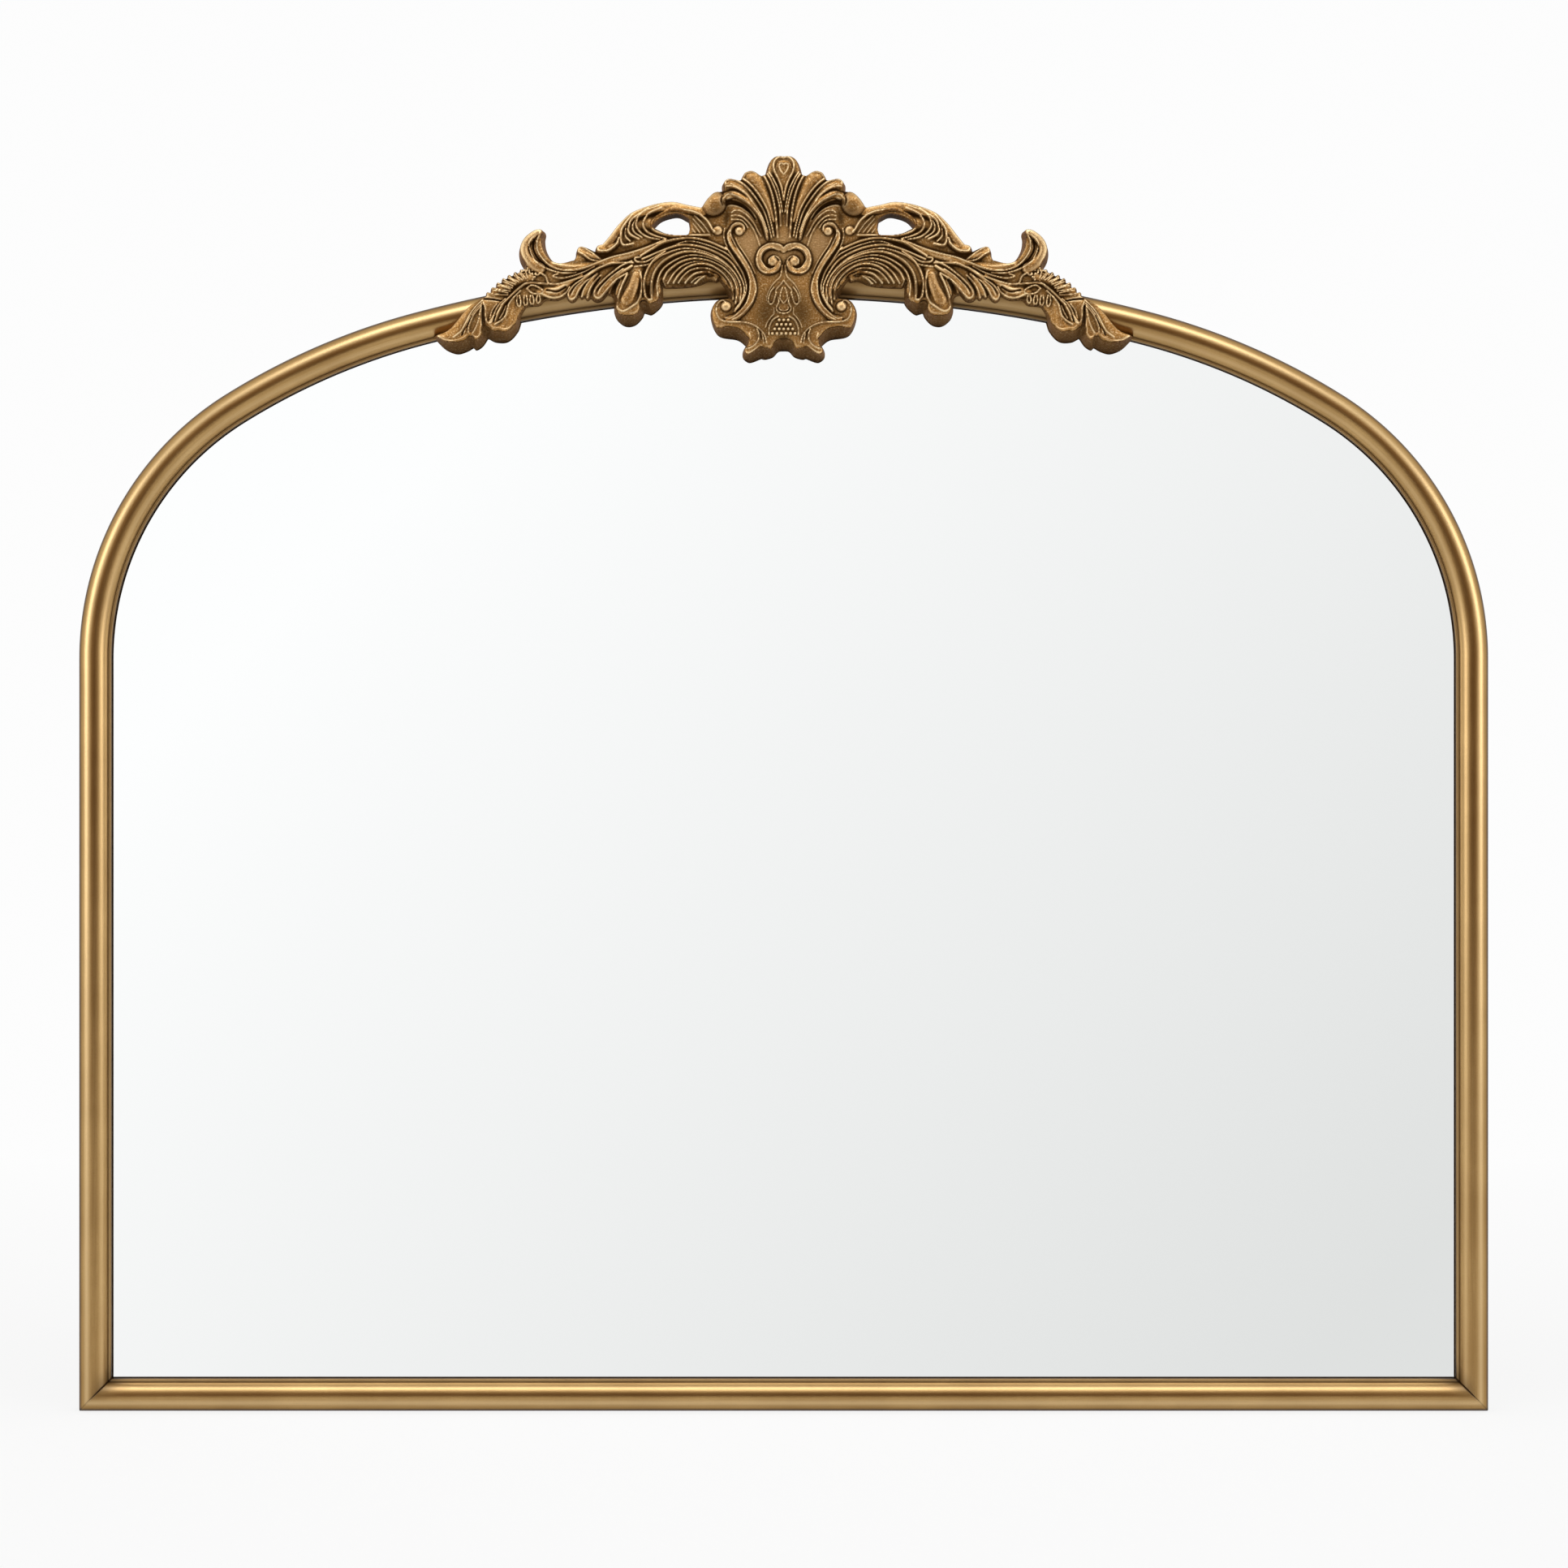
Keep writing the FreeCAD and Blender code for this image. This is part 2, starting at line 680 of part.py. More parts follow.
# Outline from the top of the shell along the wing to its tip and back under to the foot.
# Each stretch is one lobe and ends in a notch.
CREST_OUTLINE = [
    [(0, 69), (-5, 69), (-9, 66.5), (-11, 62), (-12, 58)],
    [(-12, 58), (-14, 56.5), (-17.5, 58.5), (-21.5, 59.5), (-26, 58), (-28, 54.5)],
    [(-28, 54.5), (-29, 53.5), (-35, 54.5), (-38, 53.5), (-40, 51), (-40, 46.5)],
    [(-40, 46.5), (-44.5, 45.5), (-48, 43), (-51.5, 39), (-53.5, 36)],
    [(-53.5, 36), (-61.5, 37.5), (-71, 39.5), (-81, 38.5), (-91.5, 35.5), (-100, 31.5),
     (-107.5, 24.5), (-113, 17.5), (-117.5, 12)],
    [(-117.5, 12), (-120, 11.5), (-123.5, 7.5)],
    [(-123.5, 7.5), (-127.5, 9.5), (-131, 11), (-133.5, 10), (-135.5, 5.5), (-136, 2)],
    [(-136, 2), (-144.5, 0), (-150, 2.5), (-154, 8.5), (-155, 15), (-156, 21)],
    [(-156, 21), (-158, 22), (-162.5, 20.5), (-168.5, 15.5), (-171.5, 9), (-171, 2), (-168, -4)],
    [(-168, -4), (-173.5, -6.5), (-179, -8.5)],
    [(-179, -8.5), (-185, -13), (-193, -20.5)],
    [(-193, -20.5), (-203, -27.5), (-208, -32.5), (-217, -43), (-227, -47)],
    [(-227, -47), (-224.5, -50), (-219, -55), (-212, -57.5), (-206, -56), (-201.5, -53.5)],
    [(-201.5, -53.5), (-199.5, -55), (-195.5, -52.5), (-192, -47.5)],
    [(-192, -47.5), (-186.5, -50), (-179, -49.5), (-173, -43.5), (-170, -35), (-166, -29.5)],
    [(-166, -29.5), (-163.5, -28.5), (-157.5, -28), (-154.5, -25)],
    [(-154.5, -25), (-153, -23.5), (-147, -24.2), (-141, -22.3), (-139.3, -21.8)],
    [(-139.3, -21.8), (-139, -24.3), (-136.9, -25.5), (-134, -24.2), (-131.5, -22.5)],
    [(-131.5, -22.5), (-130.3, -23.2), (-125.5, -21.6), (-122.9, -22.2)],
    [(-122.9, -22.2), (-122, -23.5), (-119, -24), (-115.4, -23), (-112.7, -21.6)],
    [(-112.7, -21.6), (-110, -23.5), (-109.5, -26)],
    [(-109.5, -26), (-110, -30.5), (-108.5, -35), (-104.5, -38.7), (-100.5, -39.8), (-96, -38.5),
     (-92, -34.5), (-90.3, -31)],
    [(-90.3, -31), (-88, -31.7), (-85.5, -32), (-81, -28.5), (-78.5, -25), (-77.3, -20.5), (-77, -15)],
    [(-77, -15), (-66, -14.2), (-59.5, -14)],
    [(-59.5, -14), (-56.5, -15.5), (-53.5, -14.8), (-50.5, -11.3), (-47, -10.6), (-42, -12.3),
     (-37, -17), (-35.2, -22.3)],
    [(-35.2, -22.3), (-44, -24.5), (-47.5, -33.5), (-42.5, -45.5), (-30, -48.5), (-24.5, -52.5)],
    [(-24.5, -52.5), (-26.5, -56.5), (-26.5, -60), (-24, -62.5), (-21, -63), (-14.5, -60.5)],
    [(-14.5, -60.5), (-12, -61), (-7, -59.5), (-3.5, -56), (0, -55.5)],
]

# Pierced opening in the wing
CREST_WINDOW = [
    [(-82.5, 23), (-78, 27), (-72, 29), (-67.5, 29.5), (-62, 26.5)],
    [(-62, 26.5), (-61.5, 22.5), (-62.5, 18.5)],
    [(-62.5, 18.5), (-65, 18), (-74, 19), (-82.5, 23)],
]

# Raised carving: the line of each ridge, its half width at its start and its end, and its
# share of the full relief.
CREST_RIDGES = [
    # Shell: flutes that spread from the cartouche
    ([(0, 65), (0, 48), (0, 30)], 8.0, 1.5, 0.8),
    ([(-20.5, 57), (-16, 46), (-9.5, 32), (-6, 16)], 6.0, 1.2, 0.8),
    ([(-35, 51.5), (-25, 46), (-14, 32), (-9.5, 18)], 4.5, 1.2, 0.8),
    ([(-46, 41), (-38, 42), (-28, 40), (-18, 32), (-12, 17)], 5.0, 1.4, 1.0),
    ([(-33.5, 32), (-29, 32.5), (-22, 28), (-14.5, 17)], 1.6, 1.2, 0.5),
    # Scroll: a long S that rolls into a volute at each end
    ([(-27, 19), (-30.5, 24), (-35, 20), (-35, 14), (-28.5, 4), (-23, -6), (-20, -17), (-24, -32),
      (-34, -38.5), (-43, -34), (-42, -26.5), (-37, -27)], 2.2, 2.0, 0.8),
    # Paired volutes, their stem and the husk below
    ([(0, 7), (-8, 11.5), (-16, 7.5), (-17, -1), (-10, -7), (-4.5, -3), (-7, 1.5)], 1.8, 1.8, 0.6),
    ([(0, 4.5), (0, -3), (0, -11)], 1.4, 1.4, 0.6),
    ([(0, -12), (-5.5, -17), (-6, -25), (-2.5, -32)], 1.8, 1.2, 0.5),
    ([(0, -35.5), (0, -41), (0, -47)], 5.5, 4.0, 0.5),
    ([(-3, -47.5), (-9.5, -53), (-15, -58.5), (-22, -60)], 2.0, 2.6, 0.7),
    ([(-20, -57), (-21, -50), (-29, -46), (-38, -43.5), (-45, -36)], 1.6, 1.6, 0.6),
    # Fan of strands from the wing into the scroll
    ([(-91, 3.5), (-76.5, 12), (-62, 14.5), (-49.5, 13), (-38, 8)], 1.5, 1.8, 0.8),
    ([(-90, -0.5), (-75, 7.5), (-62, 9.5), (-48, 6.5), (-35, -2), (-28, -14), (-30, -29)], 1.5, 1.4, 0.8),
    ([(-87, -23), (-89, -14), (-84, -3), (-73, 3.5), (-60, 5.5), (-47, 2), (-36, -7), (-31, -20)], 2.2, 1.3, 0.8),
    ([(-82, -24), (-82.5, -12), (-75, -2.5), (-62, 1.5), (-48, -2), (-38, -10), (-34, -20)], 2.2, 1.2, 0.7),
    ([(-71, -11.5), (-63, -5), (-53, -3.5), (-43, -8.5), (-37, -16)], 1.6, 1.2, 0.6),
    ([(-61, -12), (-54, -8.5), (-46, -9.5)], 1.6, 1.2, 0.5),
    # Wing: stem with its hooked end, the rim and the leaves that curl from it
    ([(-76, 14), (-95, 5.5), (-118, -1), (-140, -5), (-154, -2), (-163, 6), (-163, 15), (-159, 19)], 1.8, 3.2, 1.0),
    ([(-55, 34), (-70, 37), (-84, 35.5), (-97, 30.5), (-107, 22), (-115, 12.5)], 2.2, 2.2, 0.9),
    ([(-97.5, 29), (-103.5, 22), (-105, 14.5), (-101, 10)], 1.4, 2.0, 0.6),
    ([(-87.5, 33), (-97, 27), (-100, 20), (-94, 15)], 1.4, 2.0, 0.6),
    ([(-79, 33), (-89, 29), (-93, 22), (-87, 16), (-76, 14.5)], 1.4, 1.6, 0.6),
    ([(-105, 12), (-112, 7), (-121, 8.5)], 1.4, 2.0, 0.7),
    ([(-118, 2), (-127, 4), (-133, 8)], 1.4, 2.6, 0.7),
    # Drop and the leaf tips along the rail
    ([(-94, -4), (-98, -14), (-102, -24), (-103.5, -34)], 2.5, 5.0, 1.0),
    ([(-98, 0), (-107, -5.5), (-115, -12), (-119, -19)], 1.4, 2.6, 0.7),
    ([(-112, -1), (-121, -6), (-128, -12), (-131, -19)], 1.4, 2.6, 0.7),
    ([(-124, -4), (-133, -8.5), (-140, -14), (-143, -20)], 1.4, 2.6, 0.7),
    ([(-137, -7), (-147, -11), (-154, -16), (-158, -23)], 1.4, 2.6, 0.7),
    # Frond: midrib, upper and lower loops
    ([(-160, -12), (-173, -18.5), (-182, -27), (-191, -40)], 1.4, 1.6, 0.7),
    ([(-169, -16), (-173, -11), (-177, -10)], 1.2, 1.8, 0.6),
    ([(-175, -20), (-180, -15), (-185, -14.5)], 1.2, 1.8, 0.6),
    ([(-181, -26), (-186, -21), (-191, -20.5)], 1.2, 1.8, 0.6),
    ([(-171, -19.5), (-168, -23), (-166, -27)], 1.2, 2.0, 0.6),
    ([(-178, -24.5), (-176, -33), (-177, -43)], 1.4, 3.0, 0.7),
    ([(-184, -31), (-184, -38), (-186, -46.5)], 1.4, 2.6, 0.7),
    # Leaf at the tip
    ([(-193.5, -24), (-202, -32), (-208, -42), (-217, -49), (-225, -48.5)], 1.6, 1.4, 0.8),
    ([(-196, -29), (-200, -40), (-208, -51)], 1.4, 2.6, 0.7),
    ([(-192.5, -30), (-194.5, -40), (-198, -50)], 1.2, 2.4, 0.7),
]

# Sections of a ridge as (share of the half width, share of the height), for slim and for broad ridges,
# and the share of its height that a ridge keeps at its ends
NARROW_PROFILE = [(-1, 0), (0, 1), (1, 0)]
BROAD_PROFILE = [(-1, 0), (-0.6, 0.75), (0, 1), (0.6, 0.75), (1, 0)]
BROAD_FROM = 2.9
END_HEIGHT = 0.5
LEAST_STATIONS = 4
ARC_TOLERANCE = 0.2

# Rings of a dome above its foot, as (share of the radius, share of the height)
DOME_RINGS = [(1, 0.4), (0.7, 0.8), (0.3, 1)]
DOME_SIDES = 10

# Domes: centre, radius and share of the full relief
CREST_DOMES = [
    ((-29, 19.5), 2.8, 0.9),
    ((-38, -30), 4.2, 0.9),
    ((-43, 19.5), 3.0, 0.8),
    ((-46, 40), 5.5, 1.0),
    ((-8, -1), 2.0, 0.7),
]


def crest_point(spot, away):
    """Return a drawn point of the crest in the part's own frame."""
    across = spot[0] * size("crest_width").number / DRAWN_WIDTH
    up = spot[1] * size("crest_height").number / DRAWN_HEIGHT
    return Vector(across, away, crown_top.number + up)


def crest_curve(spots, away):
    """Return a smooth curve through drawn points."""
    curve = Part.BSplineCurve()
    curve.interpolate([crest_point(spot, away) for spot in spots])
    return curve


def crest_edges(stretches, away):
    """Return the edges of a drawn outline, each smooth stretch as tangent arcs."""
    edges = []
    for stretch in stretches:
        edges += [arc.toShape() for arc in crest_curve(stretch, away).toBiArcs(ARC_TOLERANCE)]
    return edges


def crest_face(away):
    """Return the face of the crest's left half, with its opening."""
    rim = crest_edges(CREST_OUTLINE, away)
    last = crest_point(CREST_OUTLINE[-1][-1], away)
    rim.append(Part.makeLine(last, crest_point(CREST_OUTLINE[0][0], away)))
    return Part.Face(Part.Wire(rim)).cut(Part.Face(Part.Wire(crest_edges(CREST_WINDOW, away))))


def faceted_loft(sections):
    """Join equal sections in order with flat triangles and close both ends, as one solid."""
    faces = [Part.Face(Part.makePolygon(section + section[:1])) for section in (sections[0], sections[-1])]
    for near, far in zip(sections, sections[1:]):
        for first, second, third, fourth in zip(near, near[1:] + near[:1], far[1:] + far[:1], far):
            for triangle in ((first, second, third), (first, third, fourth)):
                faces.append(Part.Face(Part.makePolygon([*triangle, first])))
    return Part.makeSolid(Part.makeShell(faces))


def carved_ridge(spots, first, last, share):
    """Carry a ridge along a drawn line, standing on the crest's ground and low at both ends."""
    sink = size("crest_sink").number
    top = size("crest_relief").number * share
    curve = crest_curve(spots, -crest_ground.number)
    stations = max(len(spots), LEAST_STATIONS)
    span = curve.LastParameter - curve.FirstParameter
    profile = BROAD_PROFILE if max(first, last) > BROAD_FROM else NARROW_PROFILE
    sections = []
    for station in range(stations):
        part = station / (stations - 1)
        spot = curve.FirstParameter + span * part
        middle = curve.value(spot)
        across = curve.tangent(spot)[0].cross(Vector(0, 1, 0)).normalize() * (first + (last - first) * part)
        swell = END_HEIGHT + (1 - END_HEIGHT) * math.sin(math.pi * part)
        sections.append([middle + across * side + Vector(0, sink * (rise == 0) - rise * top * swell, 0)
                         for side, rise in profile])
    return faceted_loft(sections)


def carved_dome(spot, radius, share):
    """Return a low faceted button that stands on the ground."""
    top = size("crest_relief").number * share
    sink = size("crest_sink").number
    middle = crest_point(spot, -crest_ground.number)
    levels = [(radius, -sink)] + [(across * radius, up * top) for across, up in DOME_RINGS]
    turns = [2 * math.pi * step / DOME_SIDES for step in range(DOME_SIDES)]
    rings = [[middle + Vector(reach * math.cos(turn), -rise, reach * math.sin(turn)) for turn in turns]
             for reach, rise in levels]
    return faceted_loft(rings)


crest_ground = moulding_front + size("crest_cover")


def rail_room():
    """Return the channel behind the crest for the moulding, and the space of the glass, as a turned solid."""
    gap = size("crest_gap")
    top = -moulding_front - gap
    shelf = -lip_front - gap
    inner = round_radius * 2 + gap
    over = size("crest_height")
    section = [(-gap, panel_depth), (-gap, top), (inner, top), (inner, shelf), (over, shelf), (over, panel_depth)]
    corners = [Vector(0, y.number, crown_top.number - u.number) for u, y in section]
    axis = Vector(0, 0, crown_z.number)
    return Part.Face(Part.makePolygon(corners + corners[:1])).revolve(axis, Vector(0, 1, 0), 360)


def make_crest():
    """Carve the crest: a slab with ridges and domes, trimmed to the outline and hollowed for the rail."""
    back = -size("crest_setback").number
    front = -crest_ground.number - size("crest_relief").number - size("crest_sink").number
    deep = back + crest_ground.number
    slab = crest_face(back).extrude(Vector(0, -deep, 0))
    ridges = [carved_ridge(*ridge) for ridge in CREST_RIDGES]
    domes = [carved_dome(*dome) for dome in CREST_DOMES]
    left = slab.fuse(ridges + domes)
    left = left.common(crest_face(back).extrude(Vector(0, front - back, 0)))
    right = left.mirror(Vector(0, 0, 0), Vector(1, 0, 0))
    carved = feature("crest_carving", left.fuse(right))
    room = feature("rail_room", rail_room())
    return cut("crest", carved, [room, crest_screw_room])


hinges = hanger_spots()
panel_blank = arched_sheet("panel_blank", panel_inset, size("panel_thickness"), ZERO)
subparts = [
    make_arch_rail(),
    make_bottom_rail(),
    feature("mitre_nails", mitre_nail_set(0.0)),
    arched_sheet("mirror_glass", glass_inset, size("glass_thickness"), -lip_back),
    cut("back_panel", panel_blank, [panel_screw_room, hanger_screw_room]),
    feature("panel_screws", panel_screw_set(0.0)),
    make_crest(),
    feature("crest_screws", crest_screw_set(0.0)),
    feature("hanger_screws", hanger_screw_set(0.0)),
]
subparts += make_tapes()
subparts += make_bumpers()
for side_name, hinge_spot in hinges.items():
    subparts.append(make_strap(side_name, hinge_spot))
    subparts.append(make_ring(side_name, hinge_spot))

doc.recompute()
for item in doc.Objects:
    if {"Invalid", "Error"} & set(item.State):
        raise RuntimeError("%s did not build: %s" % (item.Label, item.State))
for item in subparts:
    item.Label = item.Name
    if item.Shape.isNull() or not item.Shape.isValid():
        raise RuntimeError("%s has no valid shape" % item.Label)

os.makedirs("parts", exist_ok=True)
for item in subparts:
    item.Shape.exportStep("parts/%s.step" % item.Label)
    print("%-22s %2d solids %12.1f mm3" % (item.Label, len(item.Shape.Solids), item.Shape.Volume))
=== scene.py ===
"""Looks of the arched wall mirror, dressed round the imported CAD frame.

The axes are the frame's own: +X to the viewer's right, +Z up, and the front faces -Y. Sizes are kept
in millimetres and become metres where a mesh is made.
"""

import logging
import math
from dataclasses import dataclass, field, replace
from enum import Enum
from typing import Any

import bpy
import numpy as np
from mathutils.geometry import delaunay_2d_cdt
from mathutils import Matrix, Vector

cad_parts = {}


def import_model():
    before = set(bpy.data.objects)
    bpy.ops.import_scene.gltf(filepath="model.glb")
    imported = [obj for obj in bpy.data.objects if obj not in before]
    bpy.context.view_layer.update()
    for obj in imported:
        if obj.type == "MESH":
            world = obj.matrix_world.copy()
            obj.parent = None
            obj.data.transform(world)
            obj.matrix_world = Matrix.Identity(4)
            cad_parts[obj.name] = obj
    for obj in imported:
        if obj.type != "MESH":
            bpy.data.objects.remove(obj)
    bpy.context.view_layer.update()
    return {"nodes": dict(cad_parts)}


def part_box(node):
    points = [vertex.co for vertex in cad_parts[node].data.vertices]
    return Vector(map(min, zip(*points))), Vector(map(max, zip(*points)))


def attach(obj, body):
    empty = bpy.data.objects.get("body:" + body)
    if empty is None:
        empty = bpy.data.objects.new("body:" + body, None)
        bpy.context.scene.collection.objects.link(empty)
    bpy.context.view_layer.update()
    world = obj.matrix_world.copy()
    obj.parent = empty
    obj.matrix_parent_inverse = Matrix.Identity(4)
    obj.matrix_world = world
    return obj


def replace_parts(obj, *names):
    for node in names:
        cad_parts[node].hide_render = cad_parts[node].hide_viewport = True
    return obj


MM = 0.001
BODY = "frame"
log = logging.getLogger("mirror")

Spots = list[tuple[float, float]]


def linear(code: str) -> tuple[float, float, float, float]:
    """Turn an sRGB hex colour into linear light.

    Args:
        code: colour as "#rrggbb".

    Returns:
        Red, green, blue and an alpha of 1.
    """
    shares = [int(code[at:at + 2], 16) / 255 for at in (1, 3, 5)]
    red, green, blue = [s / 12.92 if s <= 0.04045 else ((s + 0.055) / 1.055) ** 2.4 for s in shares]
    return red, green, blue, 1.0


def add_node(tree: bpy.types.NodeTree, kind: str, settings: dict[str, Any], inputs: dict[Any, Any]) -> Any:
    """Add one shader node, set its properties and fill its inputs.

    Args:
        tree: node tree that takes the node.
        kind: type of the node.
        settings: properties by name.
        inputs: values or sockets by input name or number; a socket is linked, a value is set.

    Returns:
        The new node.
    """
    node = tree.nodes.new(kind)
    for name, value in settings.items():
        setattr(node, name, value)
    for key, value in inputs.items():
        if isinstance(value, bpy.types.NodeSocket):
            tree.links.new(value, node.inputs[key])
        else:
            node.inputs[key].default_value = value
    return node


def new_material(name: str) -> tuple[bpy.types.Material, bpy.types.NodeTree]:
    """Start an empty node material.

    Args:
        name: the real material's name.

    Returns:
        The material and its cleared node tree.
    """
    material = bpy.data.materials.new(name)
    material.use_nodes = True
    material.node_tree.nodes.clear()
    return material, material.node_tree


def make_piece(name: str, points: np.ndarray, faces: list[np.ndarray]) -> bpy.types.Object:
    """Make a smooth mesh piece with its place in its vertices.

    Args:
        name: name of the piece.
        points: (n, 3) places in millimetres.
        faces: blocks of faces, each an (m, corners) array of point numbers.

    Returns:
        The new object, in the scene and at the origin.
    """
    mesh = bpy.data.meshes.new(name)
    corners = np.concatenate([block.ravel() for block in faces])
    counts = np.concatenate([np.full(len(block), block.shape[1]) for block in faces])
    mesh.vertices.add(len(points))
    mesh.vertices.foreach_set("co", (points * MM).ravel())
    mesh.loops.add(len(corners))
    mesh.loops.foreach_set("vertex_index", corners)
    mesh.polygons.add(len(counts))
    mesh.polygons.foreach_set("loop_start", np.cumsum(counts) - counts)
    mesh.polygons.foreach_set("use_smooth", np.ones(len(counts), bool))
    mesh.update(calc_edges=True)
    mesh.validate()
    piece = bpy.data.objects.new(name, mesh)
    bpy.context.scene.collection.objects.link(piece)
    return piece


def set_field(piece: bpy.types.Object, name: str, values: np.ndarray) -> None:
    """Store one number per point as a mesh attribute that materials read.

    Args:
        piece: mesh object.
        name: attribute name.
        values: one value per point.
    """
    layer = piece.data.attributes.new(name, "FLOAT", "POINT")
    layer.data.foreach_set("value", values.astype(np.float32).ravel())


def set_uv(piece: bpy.types.Object, along: np.ndarray, around: np.ndarray) -> None:
    """Give a piece a UV map in metres, from one pair of numbers per face corner.

    Args:
        piece: mesh object.
        along: length along the piece at each corner, in millimetres.
        around: length round its section at each corner, in millimetres.
    """
    layer = piece.data.uv_layers.new(name="UVMap")
    layer.data.foreach_set("uv", (np.stack([along, around], axis=1) * MM).astype(np.float32).ravel())


def grid_quads(rows: int, columns: int) -> np.ndarray:
    """Number the quads of a grid of points stored row by row.

    Args:
        rows: points along the grid.
        columns: points across it.

    Returns:
        (n, 4) point numbers.
    """
    first = (np.arange(rows - 1)[:, None] * columns + np.arange(columns - 1)[None, :]).ravel()
    return np.stack([first, first + 1, first + columns + 1, first + columns], axis=1)


def tube_faces(rows: int, columns: int) -> tuple[list[np.ndarray], np.ndarray]:
    """Number the faces of a tube whose rows of points close on themselves, with a cap at each end.

    Args:
        rows: points along the tube.
        columns: points round it, the last being the first again.

    Returns:
        Blocks of faces without the repeated point, and every corner's number with it.
    """
    ring = np.arange(columns - 1)
    blocks = [grid_quads(rows, columns), ring[None, ::-1], ring[None, :] + (rows - 1) * columns]
    joined = [block // columns * (columns - 1) + block % columns % (columns - 1) for block in blocks]
    return joined, np.concatenate([block.ravel() for block in blocks])


def smooth_step(low: float, high: float, values: np.ndarray) -> np.ndarray:
    """Rise smoothly from 0 to 1 between two values.

    Args:
        low: where the rise starts.
        high: where it ends.
        values: places to read.

    Returns:
        The cubic 3t^2 - 2t^3 of each value's share of the way.
    """
    share = np.clip((values - low) / (high - low), 0, 1)
    return share * share * (3 - 2 * share)


@dataclass(frozen=True)
class AntiqueGold:
    """Gold paint over brown, pale where rubbed and where highlights are painted, dark with wax and painted shade."""

    name: str
    gold: str = "#b8945c"
    # Pale gold of wear and of painted highlights, and the dark of wax and of painted shade
    worn_and_highlight: str = "#f3d6a4"
    wax_and_shade: str = "#33200c"
    shade: str = "#9a7642"
    metal: float = 1.0
    rough: float = 0.3
    coat: float = 0.35
    streaked: bool = False
    fleck: float = 0.0
    speckle: float = 0.4
    grain_mm: float = 0.9
    grain_height_mm: float = 0.05
    cloud_mm: float = 38.0
    streak_long_mm: float = 60.0
    streak_wide_mm: float = 1.1
    wax_and_shade_rough: float = 0.7
    wax_and_shade_metal: float = 0.15

    def material(self) -> bpy.types.Material:
        """Build the finish from the piece's fields of wear with painted highlight, and of dirt with painted shade.

        Returns:
            A material that reads the per-point attributes of wear with painted highlight and of dirt with painted
            shade.
        """
        material, tree = new_material(self.name)
        place = add_node(tree, "ShaderNodeTexCoord", {}, {})
        wear_and_highlight = add_node(tree, "ShaderNodeAttribute", {"attribute_name": "wear_and_highlight"}, {}).outputs["Fac"]
        dirt_and_shade = add_node(tree, "ShaderNodeAttribute", {"attribute_name": "dirt_and_shade"}, {}).outputs["Fac"]
        grain = add_node(tree, "ShaderNodeTexNoise", {}, {
            "Vector": place.outputs["Object"], "Scale": 1 / (self.grain_mm * MM), "Detail": 3.0, "Roughness": 0.65})
        cloud = add_node(tree, "ShaderNodeTexNoise", {}, {
            "Vector": place.outputs["Object"], "Scale": 1 / (self.cloud_mm * MM), "Detail": 3.0})
        tone = add_node(tree, "ShaderNodeMapRange", {}, {
            "Value": cloud.outputs["Fac"], 1: 0.35, 2: 0.68, 3: 0.0, 4: 0.55})
        base = add_node(tree, "ShaderNodeMix", {"data_type": "RGBA"}, {
            0: tone.outputs["Result"], 6: linear(self.gold), 7: linear(self.shade)})
        if self.streaked:
            run = add_node(tree, "ShaderNodeMapping", {}, {
                "Vector": place.outputs["UV"],
                "Scale": (1 / (self.streak_long_mm * MM), 1 / (self.streak_wide_mm * MM), 1.0)})
            streak = add_node(tree, "ShaderNodeTexNoise", {}, {
                "Vector": run.outputs["Vector"], "Scale": 1.0, "Detail": 4.0, "Roughness": 0.6})
            share = add_node(tree, "ShaderNodeMapRange", {}, {
                "Value": streak.outputs["Fac"], 1: 0.42, 2: 0.75, 3: 0.0, 4: 0.6})
            base = add_node(tree, "ShaderNodeMix", {"data_type": "RGBA"}, {
                0: share.outputs["Result"], 6: base.outputs[2], 7: linear(self.shade)})
        speckle = add_node(tree, "ShaderNodeMapRange", {}, {
            "Value": grain.outputs["Fac"], 1: 0.52, 2: 0.72, 3: 0.0, 4: self.speckle})
        base = add_node(tree, "ShaderNodeMix", {"data_type": "RGBA"}, {
            0: speckle.outputs["Result"], 6: base.outputs[2], 7: linear(self.shade)})
        fleck = add_node(tree, "ShaderNodeMapRange", {}, {
            "Value": grain.outputs["Fac"], 1: 0.34, 2: 0.46, 3: self.fleck, 4: 0.0})
        # Pale where worn and where highlights are painted; dark where waxed and where shade is painted
        pale_share = add_node(tree, "ShaderNodeMath", {"operation": "MAXIMUM"}, {0: wear_and_highlight, 1: fleck.outputs["Result"]})
        base = add_node(tree, "ShaderNodeMix", {"data_type": "RGBA"}, {
            0: pale_share.outputs[0], 6: base.outputs[2], 7: linear(self.worn_and_highlight)})
        base = add_node(tree, "ShaderNodeMix", {"data_type": "RGBA"}, {
            0: dirt_and_shade, 6: base.outputs[2], 7: linear(self.wax_and_shade)})
        rough = add_node(tree, "ShaderNodeMapRange", {}, {"Value": dirt_and_shade, 3: self.rough, 4: self.wax_and_shade_rough})
        metal = add_node(tree, "ShaderNodeMapRange", {}, {"Value": dirt_and_shade, 3: self.metal, 4: self.wax_and_shade_metal})
        bump = add_node(tree, "ShaderNodeBump", {}, {
            "Height": grain.outputs["Fac"], "Distance": self.grain_height_mm * MM, "Strength": 1.0})
        paint = add_node(tree, "ShaderNodeBsdfPrincipled", {}, {
            "Base Color": base.outputs[2], "Roughness": rough.outputs["Result"], "Specular IOR Level": 0.1,
            "Specular Tint": linear(self.shade), "Coat Weight": self.coat, "Coat Roughness": 0.3,
            "Metallic": metal.outputs["Result"], "Normal": bump.outputs["Normal"]})
        add_node(tree, "ShaderNodeOutputMaterial", {}, {"Surface": paint.outputs["BSDF"]})
        return material


